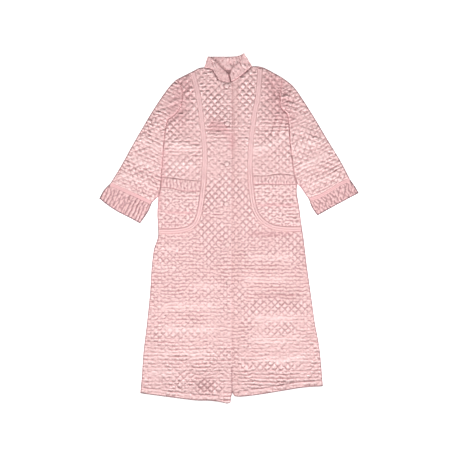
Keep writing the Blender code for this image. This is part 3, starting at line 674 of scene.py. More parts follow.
def shellOf(grid, fine, plain, below=False, plainStep=27 * mm):
    # A closed wall: its quilted face on the grid, its plain face over the same rim. below turns it over.
    places, faces, went = plainSide(grid.points[grid.rim], plainStep)
    start, rim = len(grid.points), grid.rim.tolist()
    vertices = np.vstack([np.column_stack([grid.points, fine]), np.column_stack([places, plain(places)])])
    sides = [
        (start + went[k], start + went[(k + 1) % len(rim)], rim[(k + 1) % len(rim)], corner)
        for k, corner in enumerate(rim)
    ]
    everything = [tuple(quad) for quad in grid.quads.tolist()] + sides
    everything += [tuple(start + v for v in face[::-1]) for face in faces]
    if below:
        everything = [face[::-1] for face in everything]
    lattice = np.vstack([np.column_stack([grid.p, grid.q]), grid.latticeAt(places)])
    depth = np.clip(grid.depth(-fine if below else fine) + grid.toneAndShade, 0, grid.deepest)
    return {
        "vertices": vertices,
        "faces": everything,
        "paintedShade": np.concatenate([depth + grid.edgeShade, np.full(len(places), quilt["plainInsideShade"])]),
        "rose": np.concatenate([np.clip(grid.rose, 0, 1), np.full(len(places), quilt["plainRose"])]),
        "lattice": lattice,
    }


def joinedShells(*shells):
    start, whole = 0, {"faces": []}
    for shell in shells:
        whole["faces"] += [tuple(v + start for v in face) for face in shell["faces"]]
        start += len(shell["vertices"])
    for key in ("vertices", "paintedShade", "rose", "lattice"):
        whole[key] = np.concatenate([shell[key] for shell in shells])
    return whole


def linked(name, data):
    made = bpy.data.objects.new(name, data)
    bpy.context.scene.collection.objects.link(made)
    return made


def addMesh(name, shell, finish):
    mesh = bpy.data.meshes.new(name)
    mesh.from_pydata(np.asarray(shell["vertices"]).tolist(), [], shell["faces"])
    mesh.shade_smooth()
    mesh.set_sharp_from_angle(angle=math.radians(72))
    for key in ("paintedShade", "rose"):
        shares = shell.get(key, np.full(len(mesh.vertices), 0.0))
        mesh.attributes.new(key, "FLOAT", "POINT").data.foreach_set("value", np.asarray(shares, np.float32))
    if "lattice" in shell:
        flat = np.zeros((len(mesh.vertices), 3), np.float32)
        flat[:, :2] = shell["lattice"]
        mesh.attributes.new("lattice", "FLOAT_VECTOR", "POINT").data.foreach_set("vector", flat.ravel())
    mesh.materials.append(finishes[finish])
    return linked(name, mesh)


def placed(piece, slotName, *nodes):
    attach(piece, "root")
    if nodes:
        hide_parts(*nodes)
    return piece


def flatSize(loop, angle=0.0):
    return tuple(float(side) for side in np.ptp(loop @ turnedBy(angle).T, axis=0))


def level(height):
    # A plain inside that lies flat
    return lambda places: np.full(len(places), height)


def addPanel(name, node, shell, finish="quiltedSatin", slotName="quilted_satin"):
    loop = outlines[node]
    piece = placed(addMesh(name, shell, finish), slotName, node)
    flatSize(loop)


# Folds: each a soft ridge or trough along a bent line. A row says how wide and how high it is, how
# much deeper its colour is as a painted shade (below nothing, a painted highlight) and how much rosier
# it is as shares, and then x and y along its line. Lengths are in millimetres.


def foldField(points, folds, key="high"):
    total = np.zeros(len(points))
    for sizes, *places in folds:
        fold = dict(zip(("wide", "high", "deep", "rose"), sizes))
        if not fold.get(key):
            continue
        line = smoothCurve(np.array(places, float) * mm, 5 * mm)
        close = isNear(points, line, fold["wide"] * mm * 1.3)
        if not close.any():
            continue
        far, along, _ = nearest(points[close], line)
        t = along / lengthOf(line)
        taper = ease(t / 0.25) * ease((1 - t) / 0.25)
        total[close] += fold[key] * taper * np.exp(-((far / (fold["wide"] * mm / 2)) ** 2))
    return total


bodyFolds = [
    ((13, -3.4), (-180, 524), (-166, 545), (-152, 566)),
    ((9, 1.6), (-180, 518), (-160, 532), (-138, 552)),
    ((14, -2.6), (-178, 508), (-155, 517), (-128, 530)),
    ((10, -1.8), (-182, 490), (-160, 492), (-130, 486)),
    ((16, -2.2), (-200, 452), (-178, 458), (-150, 470)),
    ((22, 0.8), (-240, 400), (-210, 401), (-178, 395)),
    ((20, -2.4), (-100, 387), (-60, 382), (-20, 384)),
    ((12, -2.0), (-30, 352), (-10, 346), (10, 344)),
    ((30, 0.8), (-240, 330), (-180, 342), (-120, 345)),
    ((14, -3.4), (183, 505), (174, 540), (166, 582)),
    ((12, -2.4), (186, 500), (198, 540), (210, 562)),
    ((15, -2.2), (176, 500), (150, 505), (120, 488)),
    ((11, -3.2), (196, 468), (180, 420), (154, 350)),
    ((10, 2.0), (205, 470), (192, 424), (168, 348)),
    ((11, -3.0), (212, 458), (203, 410), (182, 348)),
    ((10, 1.8), (220, 456), (212, 410), (196, 352)),
    ((11, -2.6), (226, 448), (222, 400), (212, 352)),
    ((22, -1.6), (60, 392), (110, 390), (160, 380)),
    ((36, 1.0), (-250, -180), (-170, -168), (-90, -160)),
    ((40, -1.6), (-290, -330), (-180, -345), (-60, -350)),
    ((40, 1.0), (80, -250), (180, -238), (280, -230)),
    ((42, -1.6), (60, -440), (180, -436), (320, -420)),
    ((36, 1.0), (-300, -520), (-180, -538), (-60, -545)),
]
sleeveFolds = {
    "right": [
        ((12, -2.4), (-196, 520), (-214, 512), (-232, 500)),
        ((9, 1.4), (-194, 505), (-214, 495), (-236, 480)),
        ((12, -2.2), (-196, 490), (-218, 478), (-240, 462)),
        ((26, 1.0), (-262, 470), (-284, 400), (-300, 330)),
        ((22, -2.0), (-262, 380), (-300, 345), (-352, 300)),
        ((22, -1.9), (-276, 250), (-330, 228), (-390, 200)),
    ],
    "left": [
        ((12, -2.6), (206, 520), (228, 530), (250, 545)),
        ((9, 1.4), (206, 508), (232, 516), (258, 522)),
        ((12, -2.2), (206, 495), (234, 500), (262, 500)),
        ((26, 1.0), (250, 430), (272, 380), (290, 320)),
        ((22, -2.0), (262, 380), (300, 340), (340, 290)),
        ((22, -1.9), (276, 240), (330, 222), (392, 210)),
    ],
}


# Long low folds with a painted highlight on their crests, and painted shade, deeper and rosier, in the
# places between them
shades = [
    ((26, 1.3, -0.3), (43, -111), (160, -113), (277, -108)),
    ((26, 1.3, -0.3), (43, -197), (160, -198), (285, -192)),
    ((28, 1.3, -0.25), (60, -345), (180, -352), (296, -345)),
    ((26, 1.4, -0.3), (60, -432), (190, -436), (315, -422)),
    ((26, 1.3, -0.25), (60, -512), (190, -516), (325, -496)),
    ((22, -1.2, 0.25, 0.2), (50, -20), (160, -22), (280, -20)),
    ((20, -1.0, 0.2), (80, -259), (190, -262), (296, -258)),
    ((26, 1.2, -0.28), (-289, -72), (-240, -78), (-185, -90)),
    ((26, 1.2, -0.25), (-295, -152), (-240, -150), (-190, -156)),
    ((26, 1.2, -0.25), (-160, -228), (-90, -228), (-16, -226)),
    ((28, 1.5, -0.32), (-300, -312), (-150, -304), (-16, -306)),
    ((28, 1.5, -0.32), (-300, -392), (-150, -398), (-16, -392)),
    ((28, 1.4, -0.3), (-310, -482), (-160, -490), (-16, -484)),
    ((26, 1.2, -0.25), (-320, -560), (-250, -566), (-185, -566)),
    ((60, 0, 0.25), (-140, -606), (-94, -612), (-47, -614)),
    ((26, 1.3, -0.3), (-245, 334), (-180, 318), (-110, 304)),
    ((26, 1.2, -0.25), (-242, 250), (-180, 246), (-115, 248)),
    ((26, 1.0, -0.25), (-232, 405), (-205, 412), (-180, 408)),
    ((26, 1.3, -0.3), (50, 302), (140, 318), (228, 362)),
    ((20, 0, -0.3), (208, 340), (211, 384), (210, 428)),
    ((24, 1.2, -0.3), (-395, 368), (-325, 340), (-255, 300)),
    ((24, 1.2, -0.3), (-420, 290), (-340, 258), (-262, 216)),
    ((24, 1.2, -0.3), (-440, 212), (-360, 190), (-272, 152)),
    ((24, 1.2, -0.28), (238, 302), (310, 330), (380, 360)),
    ((24, 1.2, -0.28), (262, 232), (330, 262), (400, 298)),
    ((24, 1.2, -0.28), (300, 158), (370, 190), (438, 222)),
    ((80, 0, 0.35, 0.4), (-150, 626), (-176, 560), (-198, 474), (-214, 420), (-240, 370)),
    ((88, 0, 0.35, 0.4), (140, 630), (180, 560), (196, 500), (216, 430), (226, 360)),
    ((26, 0, 0, 0.5), (-250, 330), (-254, 240), (-256, 150)),
    ((42, 0, 0.5, 0.5), (-90, 404), (-45, 398), (4, 388)),
    ((26, 0, 0.15, 0.6), (-20, 392), (10, 352), (8, 300)),
    ((22, 0, 0.3, 0.5), (-280, 160), (-272, 110), (-276, 50)),
    ((24, 0, 0.3, 0.6), (274, 180), (278, 150), (280, 110)),
    ((11, 0, 0.1, 0.9), (-270, 66), (-200, 62), (-120, 60)),
    ((12, 0, 0.1, 0.9), (90, 92), (190, 92), (282, 90)),
    ((36, 0, 0.15, 0.2), (-270, 20), (-225, 14), (-170, 20)),
]


# Heights that the layers lie at


def rolled(far, wall, reach=5 * mm, keep=0.75):
    # A wall's thickness, rounded off towards its edge
    t = np.clip(far / reach, 0, 1)
    return wall * (1 - (1 - keep) * (1 - t) ** 2)


def bodyEdges():
    lines = []
    for side, at in corners.items():
        loop = outlines[f"front_{side}"]
        ways = (("neckFront", "neck"), ("neck", "shoulder"), ("armpit", "hemSide"), ("hemSide", "hemFront"))
        lines += [stretchOf(loop, at[start], at[end]) for start, end in ways]
    return lines


edgesOfBody = bodyEdges()


def frontLoft(points, side):
    # How high the inside of a front lies
    apart = np.min([farFrom(points, line) for line in edgesOfBody], axis=0)
    if side == "left":
        apart = np.minimum(apart, np.abs(points[:, 0] - layers["standEdge"]))
    height = np.minimum(layers["loft"] * ease(apart / layers["loftReach"]), layers["loftLimit"])
    if side == "right":
        inward = (layers["bandEdge"] - points[:, 0]) / layers["centreReach"]
        height = np.maximum(height, layers["loft"] * (1 - ease(inward)))
    return layers["backWall"] + layers["gap"] + height


def onFront(points, side):
    # How high the underside of what lies on a front is
    return frontLoft(points, side) + layers["frontWall"] + layers["layGap"]


def puckers(grid, size=11 * mm, reach=20 * mm, high=1.0 * mm):
    # Short gathers where a panel is sewn
    bend = 2.4 * noise(np.column_stack([grid.along, grid.far * 0.2]), 40 * mm, 9)
    wave = np.sin(2 * math.pi * grid.along / size + bend)
    swell = 0.5 + 0.5 * noise(np.column_stack([grid.along, 0 * grid.along]), 70 * mm, 10)
    return high * wave * swell * ease(grid.far / (3 * mm)) * (1 - ease(grid.far / reach))


def outerEdges(lines, loop, neighbour):
    # Those of the lines that lie along a loop, without the parts that its neighbour lies against
    own = [line for line in lines if farFrom(line[len(line) // 2, None], closed(loop))[0] < 1 * mm]
    return [line[farFrom(line, closed(neighbour)) > 9 * mm] for line in own]


def coveredBy(points, loop, reach):
    # One on what lies under a loop, and nothing a reach away from it
    far = farFrom(points, closed(loop), reach)
    return np.where(isInside(points, loop), 1, 1 - ease(far / reach))


panelLook = {  # what a panel's own dictionary can change
    "across": False,  # rows run along the coat, not across it
    "toneAndShade": 0,  # how much deeper its colour is
    "seamShade": 0.1,  # and how much deeper its painted shade is beside its seams
    "rose": 0,
    "seamRose": 0.5,
    "contrast": 1.0,
    "deepest": 1.0,  # over one, its valleys take some of the outer edges' painted shade
    "edgeShade": 0.6,  # how dark the painted shade on its outer edges is
    "least": 0.15,  # how much of the relief is left at a seam
    "flushAt": (),  # across the coat, where it meets its neighbour without sinking
}
edgeShadeLook = {"wide": 2.5 * mm, "fade": 5 * mm}  # the painted shade along an outer edge
# Where along the coat the painted shade and highlight are strongest and the colour deepest, in place of the
# relief's shading that the lamp overhead gives little of there, how far from there, and how much stronger
# and deeper
paintedShadeUnderLamp = {"y": -50 * mm, "reach": 250 * mm, "contrast": 0.7, "toneAndShade": 0.16}


def quiltedTop(grid, under, look, folds=0.0, mask=1.0, share=None, outer=()):
    # How high a panel's quilted face lies over its inside
    look = {**panelLook, **look}
    if share is None:
        share = np.clip(look["ridged"] + 0.25 * noise(grid.points, 60 * mm, 71), 0, 1)
    flush = np.zeros(len(grid.points), bool)
    for x in look["flushAt"]:
        flush |= np.abs(grid.points[:, 0] - x) < grid.far + 0.5 * mm
    seam = (1 - ease((grid.far - 1 * mm) / (4 * mm))) * ~flush
    nearLamp = np.exp(-(((grid.points[:, 1] - paintedShadeUnderLamp["y"]) / paintedShadeUnderLamp["reach"]) ** 2))
    grid.contrast = look["contrast"] * (1 + paintedShadeUnderLamp["contrast"] * nearLamp)
    grid.deepest = look["deepest"]
    # Painted shade: deeper colour beside the seams, in the folds' hollows and under the lamp; a painted
    # highlight on the folds' crests
    grid.toneAndShade = look["toneAndShade"] + look["seamShade"] * seam + foldField(grid.points, shades, "deep")
    grid.toneAndShade = grid.toneAndShade + paintedShadeUnderLamp["toneAndShade"] * paintedShadeUnderLamp["contrast"] * nearLamp
    grid.rose = look["rose"] + look["seamRose"] * seam + foldField(grid.points, shades, "rose")
    # A painted shade along the outer edges, where the cloth rolls away from the light
    for line in outer:
        beyond = 1 - ease((farFrom(grid.points, line, 12 * mm) - edgeShadeLook["wide"]) / edgeShadeLook["fade"])
        grid.edgeShade = np.maximum(grid.edgeShade, look["edgeShade"] * beyond)
    fade = look["least"] + (1 - look["least"]) * ease(grid.far / (5 * mm))
    fade = np.where(flush, 0.85 + 0.15 * ease(grid.far / (4 * mm)), fade) * mask
    raised = (look["puff"] * quilting(grid, share, look["across"]) + creases(grid, look["across"])) * fade
    edge = np.where(flush, look["wall"], rolled(grid.far, look["wall"]))
    top = under + edge + raised + folds + puckers(grid) * mask * ~flush
    return np.maximum(top, under + np.minimum(edge, layers["thinnest"]))


# The body's panels

backLook = {"fine": 4, "groove": 1.4 * mm, "edge": 1.6 * mm, "edgeReach": 4 * mm}


def grooved(grid, look):
    # A quilted face pressed flat on the floor, with its stitches as grooves
    relief = arch(grid.p, 0.7) * arch(grid.q, 0.7)
    groove = look["groove"] * (1 - np.clip(relief * 1.8, 0, 1)) * ease(grid.far / (6 * mm))
    inward = 1 - np.clip(grid.far / look["edgeReach"], 0, 1)
    return groove + look["edge"] * (1 - np.sqrt(1 - inward**2))


def addBack():
    grid = Grid(outlines["back"], fine=backLook["fine"])
    shell = shellOf(grid, grooved(grid, backLook), level(layers["backWall"]), below=True)
    addPanel("backPanel", "back", shell)


tapes = {
    "wide": 18 * mm,
    "wall": 1.8 * mm,
    "rose": 0.35,
    "step": 3 * mm,
    "beside": 3.7 * mm,  # how much higher it stands beside the pocket
    "mouth": {"right": 190 * mm, "left": 206 * mm},
    "lines": {
        "right": [
            (-142, 608), (-121, 526), (-105, 415), (-94, 300), (-97, 220), (-101, 158),
            (-110, 90), (-121, 42), (-138, 14), (-168, -3), (-214, -10), (-273, -11),
        ],
        "left": [
            (121, 622), (114, 526), (100, 450), (88, 359), (83, 279), (83, 209), (88, 148),
            (97, 90), (112, 52), (136, 26), (170, 7), (221, -1), (281, -2),
        ],
    },
}
frontLook = {
    "wall": layers["frontWall"],
    "puff": 7.0 * mm,
    "seamShade": 0.25,
    "flushAt": (layers["bandEdge"], layers["standEdge"]),
    "hemDeep": 23 * mm,  # from the hem to the stitches over it
    "hemValley": 2.4 * mm,
    "hemValleyReach": 2.6 * mm,
    "hemFlat": 0.35,  # how much flatter the quilting is in the hem
}


def hemLine(side):
    at = corners[side]
    line = stretchOf(outlines[f"front_{side}"], at["hemSide"], at["hemFront"])
    inward = 1 if side == "right" else -1
    return beside(smoothCurve(line, 6 * mm), inward * frontLook["hemDeep"])


def addFront(side):
    loop, look = outlines[f"front_{side}"], frontLook
    grid = Grid(loop)
    points = grid.points
    covers = [coveredBy(points, outlines[f"{part}_{side}"], 4 * mm) for part in ("pocket", "pocket_band")]
    tape = smoothCurve(np.multiply(tapes["lines"][side], mm), 4 * mm)
    covers.append(1 - ease((farFrom(points, tape) - 8 * mm) / (5 * mm)))
    mask = 1 - np.max(covers, axis=0)
    toHem = farFrom(points, stretchOf(loop, corners[side]["hemSide"], corners[side]["hemFront"]))
    flatter = 1 - look["hemFlat"] * (1 - ease((toHem - look["hemDeep"]) / (6 * mm)))
    stitched = np.exp(-((farFrom(points, hemLine(side)) / look["hemValleyReach"]) ** 2))
    folds = (foldField(points, bodyFolds) + foldField(points, shades)) * mm * mask
    folds = folds - look["hemValley"] * stitched
    outer = outerEdges(edgesOfBody, loop, outlines[f"sleeve_{side}"])
    top = quiltedTop(grid, frontLoft(points, side), look, folds, mask * flatter, ridging(points), outer)
    shell = shellOf(grid, top, lambda places: frontLoft(places, side))
    addPanel(f"frontPanel_{side}", f"front_{side}", shell)


stripLook = {
    "band": {
        "wall": layers["frontWall"],
        "puff": 7.0 * mm,
        "contrast": 1.5,
        "flushAt": (layers["bandEdge"],),
        "outer": ((-39, -680), (13, -680), (13, -545)),  # its hem and its free edge, in millimetres
    },
    "stand": {
        "wall": layers["standWall"],
        "puff": 6.0 * mm,
        "contrast": 3.4,
        "flushAt": (layers["standEdge"],),
        "outer": ((39, -657), (-31, -657)),
    },
    "dent": {  # round each button
        "from": 5 * mm,
        "radius": 12 * mm,
        "deep": 3.0 * mm,
        "gathers": 7,
        "gathered": 0.35,
        "flatter": 0.6,
    },
    "smooth": {  # beside the overlap
        "to": ((560, 38), (450, 27)),  # how far across the strip at two heights, in millimetres
        "relief": 0.85,  # how much is left there below, and how much less above
        "less": 0.5,
        "lessFrom": 50 * mm,
        "lessReach": 350 * mm,
        "ripple": 0.55 * mm,
        "ripples": ((1.0, 0.35, 12 * mm, 81), (0.6, 0.6, 6 * mm, 82)),  # share, squeeze, size and seed
    },
}


def outerOf(part, loop):
    places = stripLook[part]["outer"]
    return [stretchOf(loop, *ends) for ends in zip(places, places[1:])]


def addButtonBand():
    loop, look, dent = outlines["button_band"], stripLook["band"], stripLook["dent"]
    under = layers["backWall"] + layers["gap"] + layers["loft"]
    grid = Grid(loop)
    dents = np.zeros(len(grid.points))
    for number in buttons:
        low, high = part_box(f"button_{number}")
        away = grid.points - np.array([low.x + high.x, low.y + high.y]) / 2
        far, round_ = np.linalg.norm(away, axis=1), np.arctan2(away[:, 1], away[:, 0])
        gather = 1 + dent["gathered"] * np.sin(dent["gathers"] * round_ + number)
        dents = np.maximum(dents, gather * (1 - ease((far - dent["from"]) / dent["radius"])))
    mask = 1 - dent["flatter"] * np.clip(dents, 0, 1)
    folds = -dent["deep"] * dents
    top = quiltedTop(grid, under, look, folds, mask, ridging(grid.points), outerOf("band", loop))
    addPanel("buttonBand", "button_band", shellOf(grid, top, level(under)))


def addButtonStand():
    # Smooth beside the overlap, and quilted like the front towards its seam
    loop, look, smooth = outlines["button_stand"], stripLook["stand"], stripLook["smooth"]
    under = layers["backWall"] + layers["gap"]
    grid = Grid(loop)
    x, y = grid.points.T
    (highUp, wider), (lower, narrower) = np.multiply(smooth["to"], mm)
    beyond = x - np.interp(y, (lower, highUp), (narrower, wider))
    least = smooth["relief"] - smooth["less"] * ease((y - smooth["lessFrom"]) / smooth["lessReach"])
    mask = least + (1 - least) * ease((beyond + 5 * mm) / (10 * mm))
    ripple = 0
    for share, squeeze, size, seed in smooth["ripples"]:
        ripple = ripple + share * noise(grid.points * (squeeze, 1), size, seed)
    ripple = ripple * smooth["ripple"] * (1 - mask) * ease(grid.far / (4 * mm))
    top = quiltedTop(grid, under, look, ripple, mask, ridging(grid.points), outerOf("stand", loop))
    shell = shellOf(grid, top, level(under))
    addPanel("buttonStand", "button_stand", shell, "plainSatin", "plain_satin")


print("body")
addBack()
for side in corners:
    addFront(side)
addButtonStand()
addButtonBand()


# Pockets and tapes

pocketLook = {
    "pocket": {
        "name": "pocketPatch",
        "wall": layers["pocketWall"],
        "puff": 6.0 * mm,
        "ridged": 0.6,
        "least": 0.5,
        "contrast": 2.2,
        "toneAndShade": -0.08,
    },
    "pocket_band": {
        "name": "pocketBand",
        "wall": layers["pocketWall"],
        "puff": 6.0 * mm,
        "ridged": 0.7,
        "across": True,
        "rose": 0.15,
        "contrast": 1.3,
    },
}


def addPocket(side):
    for part, look in pocketLook.items():
        pitches = (quilt["tall"], quilt["wide"]) if "across" in look else (quilt["wide"], quilt["tall"])
        grid = Grid(outlines[f"{part}_{side}"], 0.0, *pitches)
        top = quiltedTop(grid, onFront(grid.points, side), look)
        shell = shellOf(grid, top, lambda places: onFront(places, side))
        addPanel(f"{look['name']}_{side}", f"{part}_{side}", shell)


ribbonLook = {  # two soft welts with a groove between them
    "columns": 12,
    "low": 0.62,  # of the wall, in the grooves
    "welt": 0.3 * mm,
    "ripple": 0.45 * mm,
    "rippleSize": 9 * mm,
    # The ribbon's colour: a painted shade in its grooves and a painted highlight on its welts
    "paintedShade": 0.6,
    "paintedHighlight": 0.45,  # the painted highlight on the welts
}


def slabFaces(shape):
    # The faces of two sheets of points, the first on the outside, and of the rim that joins them
    a, b = np.arange(2 * math.prod(shape)).reshape(2, *shape)
    faces = np.stack([a[:-1, :-1], a[:-1, 1:], a[1:, 1:], a[1:, :-1]], axis=2).reshape(-1, 4).tolist()
    faces += np.stack([b[:-1, :-1], b[1:, :-1], b[1:, 1:], b[:-1, 1:]], axis=2).reshape(-1, 4).tolist()
    ring = a[:, 0].tolist() + a[-1, 1:].tolist() + a[-2::-1, -1].tolist() + a[0, -2:0:-1].tolist()
    return faces + [[x, y, y + a.size, x + a.size] for x, y in zip(ring, ring[1:] + ring[:1])]


def addRibbon(name, node, line, wide, under, thick, rose):
    look = ribbonLook
    shares = np.linspace(-1, 1, look["columns"] + 1)
    welts = np.sqrt(np.clip(1 - ((np.abs(shares) - 0.5) / 0.5) ** 2, 0, 1))
    tops, bottoms = [], []
    for share, welt in zip(shares, welts):
        edge = beside(line, share * wide / 2)
        at = np.column_stack([distances(edge), np.full(len(edge), share * 0.004)])
        ripple = look["ripple"] * noise(at, look["rippleSize"], 91)
        high = thick * (look["low"] + (1 - look["low"]) * welt) + look["welt"] * welt + ripple
        tops.append(np.column_stack([edge, under(edge) + high]))
        bottoms.append(np.column_stack([edge, under(edge)]))
    paintedShade = np.repeat(look["paintedShade"] - look["paintedHighlight"] * welts, len(line))
    shell = {
        "vertices": np.vstack(tops + bottoms),
        "faces": slabFaces((len(shares), len(line))),
        "paintedShade": np.tile(paintedShade, 2),
        "rose": np.full(2 * len(paintedShade), rose),
    }
    piece = placed(addMesh(name, shell, "tapeSatin"), "satin_tape", node)
    float(lengthOf(line))


def insidePart(line, loop, margin=2 * mm):
    inside = line[isInside(line, loop)]
    return inside[farFrom(inside, closed(loop)) > margin]


def addTrimTape(side):
    line = smoothCurve(np.multiply(tapes["lines"][side], mm), tapes["step"])
    line = insidePart(line, outlines[f"front_{side}"])
    beyond = 1 - ease((line[:, 1] - tapes["mouth"][side]) / (2 * tapes["wide"]))
    addRibbon(
        f"trimTape_{side}",
        f"trim_tape_{side}",
        line,
        tapes["wide"] - 0.6 * mm,
        lambda places: onFront(places, side),
        tapes["wall"] + tapes["beside"] * beyond,
        tapes["rose"],
    )


print("pockets and tapes")
for side in corners:
    addPocket(side)
    addTrimTape(side)


# Sleeves and cuffs: an upper and a lower layer that meet at their edges

armLook = {
    "sleeve": {
        "wall": layers["frontWall"],
        "puff": 8.0 * mm,
        "ridged": 0.7,
        "seamShade": 0.3,
        "contrast": 1.4,
        "pitches": (quilt["wide"], quilt["tall"]),
    },
    "cuff": {
        "wall": layers["frontWall"],
        "puff": 9.0 * mm,
        "ridged": 0.7,
        "across": True,
        "toneAndShade": 0.26,
        "deepest": 1.26,
        "seamShade": 0.4,
        "rose": 0.35,
        "contrast": 4.0,
        "edgeShade": 1.0,
        "pitches": (28 * mm, 34 * mm),
    },
    "under": {"groove": 1.4 * mm, "edge": 1.8 * mm, "edgeReach": 5 * mm},
    "tapeWide": 13 * mm,
    "tapeWall": 1.8 * mm,
    "tapeRose": 0.85,
}


def armEdges(side):
    at = corners[side]
    ways = (
        ("sleeve", "shoulder", "cuffTop"),
        ("cuff", "cuffTop", "mouthTop"),
        ("sleeve", "armpit", "cuffUnder"),
        ("cuff", "cuffUnder", "mouthUnder"),
    )
    return [stretchOf(outlines[f"{part}_{side}"], at[start], at[end]) for part, start, end in ways]


def addArm(side):
    at, edges = corners[side], armEdges(side)
    towards = np.add(at["mouthTop"], at["mouthUnder"]) - np.add(at["shoulder"], at["armpit"])
    angle = math.atan2(towards[1], towards[0]) + math.pi / 2

    def hollowTop(points):
        apart = np.min([farFrom(points, line) for line in edges], axis=0)
        height = layers["sleeveLoft"] * ease(apart / layers["sleeveReach"])
        return layers["backWall"] + layers["sleeveSlot"] + height

    seamLine = smoothCurve(stretchOf(outlines[f"cuff_{side}"], at["cuffTop"], at["cuffUnder"]), 3 * mm)
    for part in ("sleeve", "cuff"):
        loop, look = outlines[f"{part}_{side}"], armLook[part]
        grid = Grid(loop, angle, *look["pitches"])
        mask = ease((farFrom(grid.points, seamLine) - 5 * mm) / (5 * mm))
        folds = (foldField(grid.points, sleeveFolds[side]) + foldField(grid.points, shades)) * mm * mask
        outer = [stretchOf(loop, at["mouthTop"], at["mouthUnder"])] if part == "cuff" else []
        outer = outerEdges(outer + edges, loop, outlines[f"front_{side}"])
        top = quiltedTop(grid, hollowTop(grid.points), look, folds, mask, outer=outer)
        upper = shellOf(grid, top, hollowTop)
        grid = Grid(loop, angle, *look["pitches"], fine=backLook["fine"])
        lower = shellOf(grid, grooved(grid, armLook["under"]), level(layers["backWall"]), below=True)
        piece = addMesh(f"{part}Tube_{side}", joinedShells(upper, lower), "quiltedSatin")
        placed(piece, "quilted_satin", f"{part}_{side}")
        across, long = flatSize(loop, angle)
    line = insidePart(seamLine, np.vstack(edges[:2] + [line[::-1] for line in edges[2:][::-1]]))
    addRibbon(
        f"cuffTape_{side}",
        f"cuff_tape_{side}",
        line,
        armLook["tapeWide"],
        lambda places: hollowTop(places) + layers["frontWall"] + layers["layGap"],
        np.full(len(line), armLook["tapeWall"]),
        armLook["tapeRose"],
    )


print("sleeves")
for side in corners:
    addArm(side)


# The collar: one band round the neck, folded flat at its two sides

collar = {
    "middle": 4.5 * mm,  # the height that it folds about
    "inner": 0.5 * mm,
    "outer": 4.5 * mm,
    "step": 2.3 * mm,
    "rows": 22,
    "folds": 8,  # steps round each fold
    "puff": 3.4 * mm,
    "insidePuff": 3.2 * mm,
    "groove": 1.0 * mm,  # of the stitches that lie on the floor
    "edge": 7 * mm,
    "ridged": 0.55,
    "paintedShade": 0.64,  # its painted shade halfway up the puffs
    "paintedHighlight": 0.7,
    "rose": 0.3,
    "edgeRose": 0.5,
    # Along the seam and along the top edge, in millimetres: x, y, x, y
    "rightWing": [
        (4, 572, -3, 602), (-22, 572, -20, 620), (-44, 583, -39, 638), (-53, 601, -50, 651),
        (-66, 620, -63, 661), (-94, 627, -78, 671),
    ],
    "back": [
        (-94, 627, -78, 671), (-62, 621, -55, 671), (-30, 619, -28, 671), (0, 619, 3, 671),
        (30, 620, 29, 673), (62, 624, 44, 677), (87, 631, 55, 683),
    ],
    "leftWing": [
        (87, 631, 55, 683), (62, 609, 42, 652), (50, 599, 28, 642), (35, 588, 14, 629), (9, 573, 3, 602),
    ],
}


